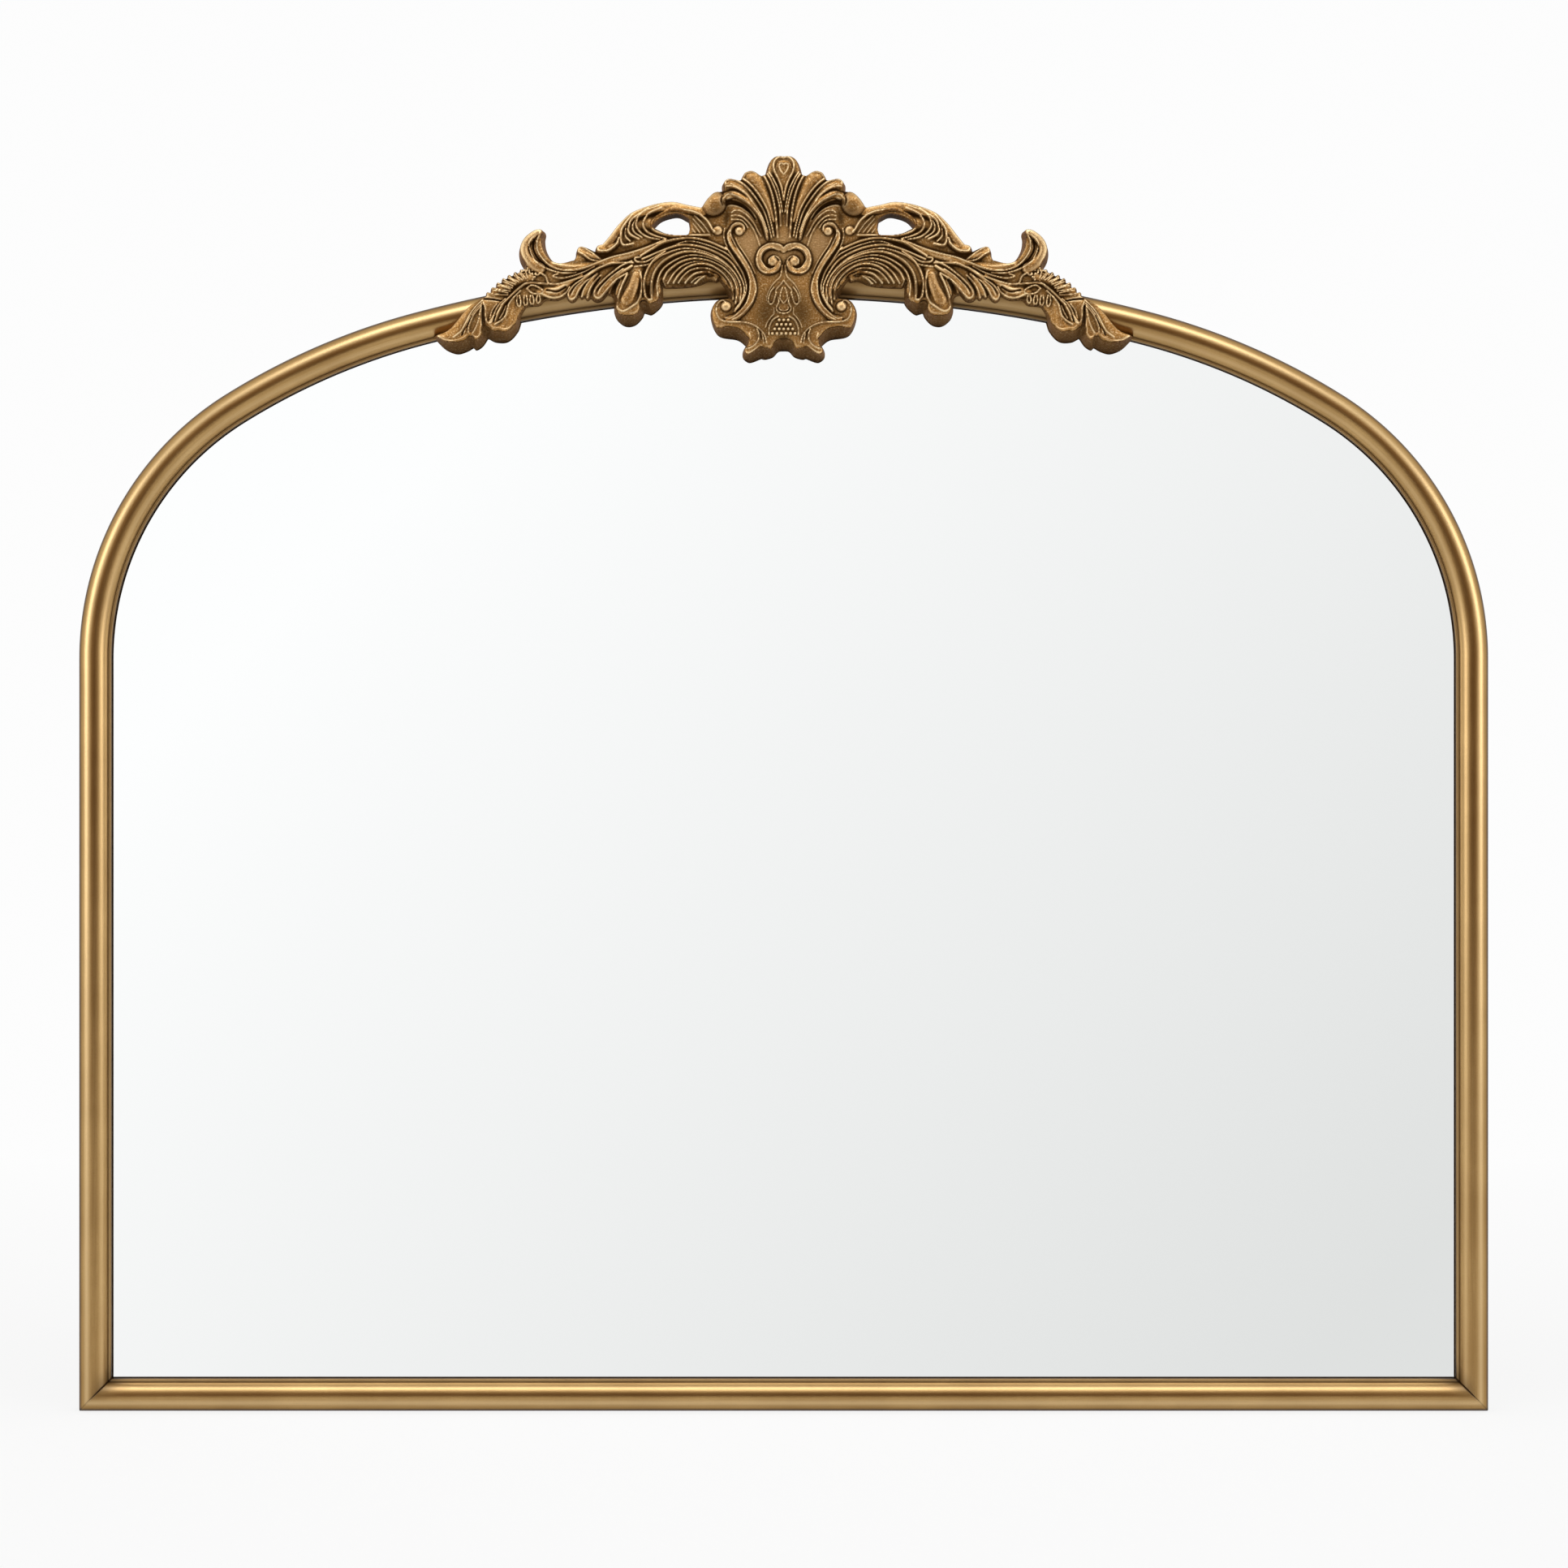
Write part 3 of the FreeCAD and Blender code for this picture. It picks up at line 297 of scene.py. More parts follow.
@dataclass(frozen=True)
class Plain:
    """An even finish with a fine grain: metal, board, rubber or foam."""

    name: str
    colour: str
    fleck: str
    metal: float = 0.0
    rough: float = 0.5
    grain_mm: float = 1.0
    grain_height_mm: float = 0.02

    def material(self) -> bpy.types.Material:
        """Build the finish from one noise on object coordinates.

        Returns:
            The material.
        """
        material, tree = new_material(self.name)
        place = add_node(tree, "ShaderNodeTexCoord", {}, {})
        grain = add_node(tree, "ShaderNodeTexNoise", {}, {
            "Vector": place.outputs["Object"], "Scale": 1 / (self.grain_mm * MM), "Detail": 4.0})
        share = add_node(tree, "ShaderNodeMapRange", {}, {"Value": grain.outputs["Fac"], 1: 0.4, 2: 0.7})
        base = add_node(tree, "ShaderNodeMix", {"data_type": "RGBA"}, {
            0: share.outputs["Result"], 6: linear(self.colour), 7: linear(self.fleck)})
        bump = add_node(tree, "ShaderNodeBump", {}, {
            "Height": grain.outputs["Fac"], "Distance": self.grain_height_mm * MM})
        surface = add_node(tree, "ShaderNodeBsdfPrincipled", {}, {
            "Base Color": base.outputs[2], "Metallic": self.metal, "Roughness": self.rough,
            "Normal": bump.outputs["Normal"]})
        add_node(tree, "ShaderNodeOutputMaterial", {}, {"Surface": surface.outputs["BSDF"]})
        return material


@dataclass(frozen=True)
class SilveredGlass:
    """Flat mirror glass, seen as its silver."""

    name: str = "silvered_glass"
    silver: str = "#feffff"

    def material(self) -> bpy.types.Material:
        """Build a perfectly sharp mirror.

        Returns:
            The material.
        """
        material, tree = new_material(self.name)
        mirror = add_node(tree, "ShaderNodeBsdfPrincipled", {}, {
            "Base Color": linear(self.silver), "Metallic": 1.0, "Roughness": 0.0})
        add_node(tree, "ShaderNodeOutputMaterial", {}, {"Surface": mirror.outputs["BSDF"]})
        return material


def dress(piece: bpy.types.Object, material: bpy.types.Material) -> None:
    """Give a piece one material on all its faces.

    Args:
        piece: mesh object, a CAD node or a new piece.
        material: the finish.
    """
    if not piece.material_slots:
        piece.data.materials.append(material)
    for slot in piece.material_slots:
        slot.material = material


@dataclass
class Moulding:
    """Rebated half-round moulding: one length round the arch, one along the foot."""

    half_width: float
    springing: float = 488.0
    haunch_radius: float = 202.0
    haunch_turn: float = 58.0
    shoulder_radius: float = 447.0
    shoulder_turn: float = 17.2
    round_radius: float = 9.75
    round_centre: float = 3.95
    lip_front: float = 7.0
    lip_back: float = 4.5
    face_width: float = 21.2
    lip_bevel: float = 0.6
    # Two painted highlight lines along the round, pale gold where the lamps' reflections fall, in degrees
    highlight_turns: tuple[float, float] = (111.0, 51.0)
    highlight_shares: tuple[float, float] = (0.36, 0.2)
    highlight_spread: float = 11.0
    # Rebate and outer corner
    rebate_wall: float = 14.98
    back_wall: float = 4.5
    panel_depth: float = 9.3
    corner_round: float = 1.5
    # Mitres: how far they sink, the rows near them, and the dirt along them
    mitre_sink: float = 0.35
    mitre_steps: tuple[float, ...] = (0.0, 0.3, 0.6, 1.0, 1.5, 2.2, 4.0, 7.0, 12.0)
    mitre_crease: float = 0.45
    mitre_line: float = 0.7
    mitre_smudge: float = 9.0
    line_grime: float = 0.35
    line_grime_inside: float = 0.6
    smudge_grime: float = 0.45
    inner_face: tuple[float, float] = (6.0, 14.0)
    # Painted shade on the outer and inner flanks of the round, and behind
    outer_turns: tuple[float, float] = (131.0, 158.0)
    inner_turns: tuple[float, float] = (38.0, 18.0)
    outer_shade: float = 0.92
    inner_shade: float = 0.45
    back_shade: float = 0.9
    sharp_angle: float = 32.0
    # Painted shadow of the crest on the rail where it covers it
    crest_reach: float = 205.0
    crest_blend: float = 25.0
    crest_shade: float = 0.28
    finish: AntiqueGold = field(default_factory=lambda: AntiqueGold("antique_gold_leaf", streaked=True))

    def section(self) -> tuple[np.ndarray, np.ndarray, np.ndarray, np.ndarray]:
        """Draw the section as one closed line of points.

        The outer wall is straight, the round is an arc about its centre, the lip is a quirk, a flat and
        a bevel, and the rebate behind steps down to the panel's seat.

        Returns:
            Inset from the outer edge, place along Y, painted highlight and painted shade at each point.
        """
        lip_start = self.round_radius + math.sqrt(
            self.round_radius ** 2 - (self.lip_front - self.round_centre) ** 2)
        last = math.atan2(self.lip_front - self.round_centre, lip_start - self.round_radius)
        turn = np.linspace(math.pi, last, 44)
        arc = np.stack([self.round_radius * (1 + np.cos(turn)),
                        -self.round_centre - self.round_radius * np.sin(turn)], axis=1)
        edge = self.face_width - self.lip_bevel
        lip = [(lip_start + 0.1, 0.3 - self.lip_front), (lip_start + 0.25, 0.05 - self.lip_front),
               (lip_start + 0.4, -self.lip_front), (edge - 0.1, -self.lip_front), (edge + 0.1, 0.1 - self.lip_front),
               (edge + 0.3, 0.4 - self.lip_front), (self.face_width - 0.1, -0.5 - self.lip_back),
               (self.face_width, -self.lip_back)]
        # Painted highlight along the lip's front, and painted shade in the quirk and down the bevel into the rebate
        lip_highlight = [0.0, 0.1, 0.15, 0.2, 0.2, 0.0, 0.0, 0.0]
        lip_shade = [0.8, 0.4, 0.2, 0.2, 0.25, 0.55, 0.85, 1.0]
        back = [(self.rebate_wall, -self.lip_back), (self.rebate_wall, 0.0), (self.back_wall, 0.0),
                (self.back_wall, self.panel_depth), (0.0, self.panel_depth)]
        spots = np.array([(0.0, self.panel_depth), *arc, *lip, *back])
        # Painted shade: darker toward the outer edge, on the inner flank by the quirk, and on the back and rebate
        outer = smooth_step(*np.radians(self.outer_turns), turn)
        inner = smooth_step(*np.radians(self.inner_turns), turn)
        dirt_and_shade = np.concatenate([[self.back_shade], self.outer_shade * outer + self.inner_shade * inner, lip_shade,
                                np.full(len(back), self.back_shade)])
        # Painted highlights: pale bands at the turns where the lamps' reflections fall on the round
        from_highlights = np.degrees(turn)[:, None] - np.array(self.highlight_turns)
        pale_share = (np.array(self.highlight_shares) * np.exp(-(from_highlights / self.highlight_spread) ** 2)).sum(axis=1)
        wear_and_highlight = np.concatenate([[0.0], pale_share, lip_highlight, np.zeros(len(back))])
        return spots[:, 0], spots[:, 1], wear_and_highlight, dirt_and_shade

    def arch_rows(self) -> tuple[np.ndarray, np.ndarray, np.ndarray, np.ndarray, np.ndarray, np.ndarray]:
        """List the right half of the path, foot to crown, as arcs about their centres.

        A leg is an arc of no radius whose centre climbs from the foot; the haunch, shoulder and crown
        follow with shared tangents.

        Returns:
            Centre x, centre z, radius, turn in radians, the share of the mitre's slant, and the length.
        """
        turns = np.radians([0.0, self.haunch_turn, self.haunch_turn + self.shoulder_turn, 90.0])
        haunch_x = self.half_width - self.haunch_radius
        step = self.haunch_radius - self.shoulder_radius
        shoulder_x = haunch_x + step * math.cos(turns[1])
        shoulder_z = self.springing + step * math.sin(turns[1])
        crown_radius = self.shoulder_radius + shoulder_x / math.cos(turns[2])
        crown_z = shoulder_z + (self.shoulder_radius - crown_radius) * math.sin(turns[2])
        leg = np.concatenate([np.array(self.mitre_steps) / self.springing,
                              np.linspace(0.05, 1, 24, endpoint=False)])
        stretches = [(self.half_width, leg * self.springing, 0.0, np.zeros(len(leg)), 1 - leg)]
        for x, z, radius, first, last, count in (
                (haunch_x, self.springing, self.haunch_radius, turns[0], turns[1], 60),
                (shoulder_x, shoulder_z, self.shoulder_radius, turns[1], turns[2], 30),
                (0.0, crown_z, crown_radius, turns[2], turns[3], 40)):
            turn = np.linspace(first, last, count, endpoint=last == turns[3])
            stretches.append((x, np.full(len(turn), z), radius, turn, np.zeros(len(turn))))
        x, z, radius, turn, slant = [
            np.concatenate([np.broadcast_to(stretch[at], stretch[3].shape) for stretch in stretches])
            for at in range(5)]
        px, pz = x + radius * np.cos(turn), z + radius * np.sin(turn)
        length = np.concatenate([[0], np.cumsum(np.hypot(np.diff(px), np.diff(pz)))])
        return x, z, radius, turn, slant, length

    def swept(self, name: str, x: np.ndarray, z: np.ndarray, along: np.ndarray, gap: np.ndarray,
              shade: np.ndarray) -> bpy.types.Object:
        """Close a swept grid of places into one rail.

        Args:
            name: name of the piece.
            x: (rows, points) places across.
            z: (rows, points) places up.
            along: length along the rail at each row.
            gap: (rows, points) distance from the nearest mitre.
            shade: (rows,) painted shadow that a row has all round.

        Returns:
            The rail, with its UV map, its wear with painted highlight, and its dirt with painted shade.
        """
        inset, depth, wear_and_highlight, dirt_and_shade = self.section()
        front = np.where(depth < -self.lip_back + 0.1, 1.0, 0.0)
        y = depth[None, :] + self.mitre_sink * front * np.exp(-(gap / self.mitre_crease) ** 2)
        over_x = np.maximum(np.abs(x) - (self.half_width - self.corner_round), 0)
        over_z = np.maximum(self.corner_round - z, 0)
        reach = np.hypot(over_x, over_z)
        pull = np.where((over_x > 0) & (over_z > 0) & (reach > self.corner_round),
                        self.corner_round / np.maximum(reach, 1e-9), 1.0)
        x = x - np.sign(x) * over_x * (1 - pull)
        z = z + over_z * (1 - pull)
        rows, columns = x.shape
        faces, corners = tube_faces(rows, columns)
        piece = make_piece(name, np.stack([x, y, z], axis=2)[:, :-1].reshape(-1, 3), faces)
        inside = smooth_step(*self.inner_face, inset)[None, :]
        joint = np.exp(-(gap / self.mitre_line) ** 2) * (self.line_grime + self.line_grime_inside * inside)
        joint = joint + self.smudge_grime * np.exp(-(gap / self.mitre_smudge) ** 2) * inside
        around = np.concatenate([[0], np.cumsum(np.hypot(np.diff(inset), np.diff(depth)))])
        set_field(piece, "wear_and_highlight", np.broadcast_to(wear_and_highlight, x.shape)[:, :-1])
        set_field(piece, "dirt_and_shade", np.clip(dirt_and_shade[None, :] + joint + shade[:, None], 0, 1)[:, :-1])
        set_uv(piece, along[corners // columns], around[corners % columns])
        piece.data.set_sharp_from_angle(angle=math.radians(self.sharp_angle))
        dress(piece, self.finish.material())
        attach(piece, BODY)
        return piece

    def arch_rail(self) -> bpy.types.Object:
        """Carry the section round the arch: centre + (radius - inset) turned by the row's angle.

        Returns:
            The rail that stands for the CAD arch rail.
        """
        inset = self.section()[0]
        cx, cz, radius, turn, slant, length = self.arch_rows()
        x = cx[:, None] + (radius[:, None] - inset) * np.cos(turn)[:, None]
        z = cz[:, None] + (radius[:, None] - inset) * np.sin(turn)[:, None] + slant[:, None] * inset
        gap = np.broadcast_to(length[:, None], x.shape)
        x = np.concatenate([-x, x[-2::-1]])
        z = np.concatenate([z, z[-2::-1]])
        along = np.concatenate([length, 2 * length[-1] - length[-2::-1]])
        # Painted shadow of the crest on the arch rail, above the springing
        crest_shadow = self.crest_shade * smooth_step(self.crest_reach, self.crest_reach - self.crest_blend, np.abs(x[:, 0]))
        crest_shadow = crest_shadow * (z[:, 0] > self.springing)
        piece = self.swept("arch_rail_face", x, z, along, np.concatenate([gap, gap[-2::-1]]), crest_shadow)
        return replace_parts(piece, "arch_rail")

    def bottom_rail(self) -> bpy.types.Object:
        """Carry the section straight across, each point's run shortened by its inset at both mitres.

        Returns:
            The rail that stands for the CAD bottom rail.
        """
        inset = self.section()[0]
        near = np.array([*self.mitre_steps, 20.0]) / self.half_width
        share = np.concatenate([near - 1, np.linspace(-0.95, 0.95, 40), 1 - near[::-1]])
        x = share[::-1, None] * (self.half_width - inset)
        z = np.broadcast_to(inset, x.shape)
        gap = (1 - np.abs(share))[::-1, None] * np.full(x.shape, self.half_width)
        piece = self.swept("bottom_rail_face", x, z, share[::-1] * self.half_width, gap, np.zeros(len(share)))
        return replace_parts(piece, "bottom_rail")


@dataclass
class MirrorGlass:
    """The glass as the eye meets it: its silver, raised to the depth that refraction sets it at."""

    moulding: Moulding
    inset: float
    thickness: float = 4.0
    index: float = 1.5
    finish: SilveredGlass = field(default_factory=SilveredGlass)

    def silver(self) -> bpy.types.Object:
        """Fill the arch: each row runs straight across between the two legs, once in front and once behind.

        Returns:
            The plate that stands for the CAD glass.
        """
        cx, cz, radius, turn, _, _ = self.moulding.arch_rows()
        x = cx + (radius - self.inset) * np.cos(turn)
        z = cz + (radius - self.inset) * np.sin(turn)
        kept = (z > self.inset) & (x > 1)
        x = np.concatenate([x[kept][:1], x[kept]])
        z = np.concatenate([[self.inset], z[kept]])
        near = self.thickness / self.index - self.moulding.lip_back
        far = self.thickness - self.moulding.lip_back
        across = np.stack([-x, x, x, -x], axis=1)
        deep = np.broadcast_to(np.array([near, near, far, far]), across.shape)
        up = np.broadcast_to(z[:, None], across.shape)
        faces, _ = tube_faces(len(x), across.shape[1] + 1)
        piece = make_piece("mirror_silver", np.stack([across, deep, up], axis=2).reshape(-1, 3), faces)
        piece.data.set_sharp_from_angle(angle=math.radians(self.moulding.sharp_angle))
        dress(piece, self.finish.material())
        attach(piece, BODY)
        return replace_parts(piece, "mirror_glass")


class Cut(Enum):
    """Section of a carved line, by the share of its half width from the middle."""

    ROLL = "half ellipse"
    CORD = "raised cosine"
    RIB = "thin cord on hollow flanks"

    def height(self, share: np.ndarray) -> np.ndarray:
        """Read the section.

        Args:
            share: distance from the line over the half width, clipped to 0..1.

        Returns:
            Height over the full rise, 1 on the line and 0 at the edge.
        """
        if self is Cut.ROLL:
            return np.sqrt(1 - share ** 2)
        if self is Cut.CORD:
            return 0.5 + 0.5 * np.cos(np.pi * share)
        return 0.6 * (0.5 + 0.5 * np.cos(np.pi * np.minimum(2.0 * share, 1))) + 0.4 * (1 - share) ** 2


@dataclass(frozen=True)
class Strand:
    """One carved line: its drawn points, half width at its ends, rise and section."""

    spots: Spots
    first: float
    last: float
    rise: float
    cut: Cut = Cut.CORD


@dataclass(frozen=True)
class Bead:
    """One carved dome: its drawn centre, radius and rise."""

    spot: tuple[float, float]
    radius: float
    rise: float


def curve_points(spots: Spots, step: float) -> np.ndarray:
    """Run a smooth curve through drawn points: a Catmull-Rom cubic on each span.

    Args:
        spots: points to pass through.
        step: about how far apart the results are, in millimetres.

    Returns:
        (n, 2) points along the curve.
    """
    drawn = np.array(spots, float)
    padded = np.concatenate([2 * drawn[:1] - drawn[1:2], drawn, 2 * drawn[-1:] - drawn[-2:-1]])
    spans = []
    for at in range(len(drawn) - 1):
        before, start, end, after = padded[at:at + 4]
        count = max(2, round(float(np.linalg.norm(end - start)) / step))
        t = np.linspace(0, 1, count, endpoint=False)[:, None]
        spans.append(0.5 * (2 * start + (end - before) * t + (2 * before - 5 * start + 4 * end - after) * t ** 2
                            + (3 * start - before - 3 * end + after) * t ** 3))
    return np.concatenate([*spans, drawn[-1:]])


@dataclass
class Crest:
    """Carved ornament over the crown: a relief height over a drawn outline, mirrored about the middle."""

    crown_top: float
    ground: float = 17.2
    setback: float = 5.0
    pitch: float = 0.42
    sharp_angle: float = 75.0
    # Steps along drawn lines, and how the grid is snapped to the outline
    outline_step: float = 0.9
    strand_step: float = 0.5
    leaflet_step: float = 0.25
    search_reach: float = 12.0
    snap_rim: float = 0.9
    snap_beside: float = 0.5
    least_slope: float = 0.3
    # Wall: its width above, beside and below, its curve, and where it stands steep before the rail
    draft: float = 2.1
    draft_above: float = 1.2
    draft_below: float = 7.4
    draft_turn: float = 0.6
    draft_turn_share: float = 0.25
    window_draft: float = 0.7
    wall_curve: float = 1.7
    wall_rounding: tuple[float, float] = (0.35, 1.0)
    wall_height: tuple[float, float] = (2.0, 0.0)
    steep_spans: list[tuple[float, float]] = field(default_factory=lambda: [(-172.0, -111.0), (-76.0, -44.0)])
    steep_top: tuple[float, float] = (-7.0, -12.0)
    steep_draft: float = 1.3
    span_blend: float = 3.0
    # Face: its swell, the rise of its lines and the fine rim along its lower edge
    face_floor: float = 1.6
    swell: float = 3.6
    swell_reach: float = 7.0
    rib_widen: float = 1.9
    rib_raise: float = 1.25
    end_rise: float = 0.72
    middle_rise: float = 0.28
    buried: tuple[float, float] = (2.0, 3.0)
    rim_end: float = -176.0
    rim_below: tuple[float, float] = (0.3, 0.75)
    rim_rise: float = 0.55
    rim_inset: float = 0.4
    rim_width: float = 0.38
    # Wear on what stands out
    fine_reach: float = 0.8
    broad_reach: float = 2.6
    wear_gain: float = 2.7
    wear_least: float = 0.15
    wear_start: tuple[float, float] = (0.95, 1.2)
    # Painted highlight on the ground in the middle, fading below and above
    middle_highlight: float = 0.2
    middle_side: tuple[float, float] = (-32.0, -26.0)
    middle_foot: tuple[float, float] = (-10.0, 4.0)
    middle_top: tuple[float, float] = (24.0, 14.0)
    # Wax in what lies low, and painted shade on the walls, along the foot, round the bulb and at the back
    wax_fine: float = 1.7
    wax_broad: float = 0.8
    wear_over_shade: float = 0.8
    # Painted shade on the walls, more on the lower walls and toward their foot, and in a band along the lower edges
    wall_shade: float = 0.36
    wall_shade_below: float = 0.16
    wall_shade_foot: float = 0.36
    foot_shade: float = 0.95
    foot_band: tuple[float, float] = (1.3, 0.6)
    # Bulb: less rub toward its edge, and painted shade on its lower side
    bulb_edge: tuple[float, float] = (1.1, 0.9)
    bulb_dull: float = 0.6
    bulb_shade: float = 0.4
    bulb_fall: tuple[float, float] = (1.5, -7.5)
    back_shade: float = 0.6
    # Finish and drawing: half of the crest, in millimetres from the middle and from the crown's top
    finish: AntiqueGold = field(default_factory=lambda: AntiqueGold(
        "antique_gold_cast", gold="#b98b51", worn_and_highlight="#fbdeac", shade="#7a5121", wax_and_shade="#311d08", metal=0.85, rough=0.32,
        coat=0.0, fleck=0.55, speckle=1.0, grain_mm=1.1, grain_height_mm=0.4))

    outline: list[Spots] = field(default_factory=lambda: [
        [(0, 69), (-5, 69), (-9, 66.5), (-11, 62), (-12, 58)],
        [(-12, 58), (-14, 56.5), (-17.5, 58.5), (-21.5, 59.5), (-26, 58), (-28, 54.5)],
        [(-28, 54.5), (-29, 53.5), (-35, 54.5), (-38, 53.5), (-40, 51), (-40, 46.5)],
        [(-40, 46.5), (-44.5, 45.5), (-48, 43), (-51.5, 39), (-53.5, 36)],
        [(-53.5, 36), (-61.5, 37.5), (-71, 39.5), (-81, 38.5), (-91.5, 35.5), (-100, 31.5), (-107.5, 24.5),
         (-113, 17.5), (-117.5, 12)],
        [(-117.5, 12), (-120.3, 11.4), (-122.2, 9.6), (-122, 7.8)],
        [(-122, 7.8), (-126, 9.7), (-129.8, 10.7), (-132.8, 10.2), (-134.6, 7.8), (-134.9, 4.8), (-136, 2)],
        [(-136, 2), (-144.5, 0), (-150, 2.5), (-153.6, 8.5), (-154.6, 14.5), (-154, 18.6), (-155, 21), (-157.6, 21.9),
         (-162.5, 20.4), (-168.5, 15.5), (-171.5, 9), (-171, 2), (-168, -4)],
        [(-168, -4), (-169.6, -3.6), (-171.2, -4.6), (-171.5, -6.2)],
        [(-171.5, -6.2), (-173.2, -5.4), (-175.2, -6.4), (-175.5, -8)],
        [(-175.5, -8), (-177.2, -7.2), (-179.2, -8.2), (-179.3, -9.9)],
        [(-179.3, -9.9), (-181.2, -9.4), (-183, -10.8), (-182.9, -12.5)],
        [(-182.9, -12.5), (-184.9, -12.2), (-186.7, -13.7), (-186.3, -15.5)],
        [(-186.3, -15.5), (-188.4, -15.4), (-190.2, -17), (-189.6, -18.8)],
        [(-189.6, -18.8), (-191.6, -18.6), (-193.2, -19.8), (-193, -21.5)],
        [(-193, -21.5), (-203, -27.5), (-208, -32.5), (-217, -43), (-227, -47)],
        [(-227, -47), (-224.5, -50), (-219, -55), (-212, -57.5), (-206, -56), (-201.5, -53.5)],
        [(-201.5, -53.5), (-199.5, -55), (-195.5, -52.5), (-192, -47.5)],
        [(-192, -47.5), (-186.5, -50), (-179, -49.5), (-173, -43.5), (-170, -35), (-166, -29.5)],
        [(-166, -29.5), (-163.5, -29), (-157.5, -28.4), (-154.5, -25.8)],
        [(-154.5, -25.8), (-153, -25), (-147, -25.4), (-142.5, -24), (-140.6, -22.5)],
        [(-140.6, -22.5), (-139.8, -25), (-136.9, -26.4), (-133.9, -25.2), (-132.2, -23)],
        [(-132.2, -23), (-131.3, -24.1), (-130, -24.4), (-128.7, -23.5)],
        [(-128.7, -23.5), (-127.8, -24.7), (-126.4, -25.1), (-124.6, -23.8)],
        [(-124.6, -23.8), (-123.2, -25.1), (-120, -25.8), (-116.4, -24.4), (-113.6, -21.6)],
        [(-113.6, -21.6), (-111.2, -22.6), (-109.5, -26)],
        [(-109.5, -26), (-110, -30.5), (-108.5, -35), (-104.5, -38.7), (-100.5, -39.8), (-96, -38.5), (-92, -34.5),
         (-90.3, -31)],
        [(-90.3, -31), (-88, -31.7), (-85.5, -32), (-81, -28.5), (-78.5, -25), (-77.3, -20.5), (-77, -17.5)],
        [(-77, -17.5), (-66, -17), (-59, -16.4), (-53, -15), (-48, -13), (-43.5, -14), (-39, -18), (-35.2, -22.3)],
        [(-35.2, -22.3), (-44, -24.5), (-47.5, -33.5), (-42.5, -45.5), (-30, -48.5), (-24.5, -52.5)],
        [(-24.5, -52.5), (-26.5, -56.5), (-26.5, -60), (-24, -62.5), (-21, -63), (-14.5, -60.5)],
        [(-14.5, -60.5), (-12, -61), (-7, -59.5), (-3.5, -56), (0, -55.5)],
    ])
    window: list[Spots] = field(default_factory=lambda: [
        [(-84.3, 22.6), (-79.5, 27.2), (-73, 29.6), (-67.5, 30), (-61.6, 27)],
        [(-61.6, 27), (-61, 22.5), (-62, 17.9)],
        [(-62, 17.9), (-65.5, 17.4), (-75, 18.4), (-84.3, 22.6)],
    ])
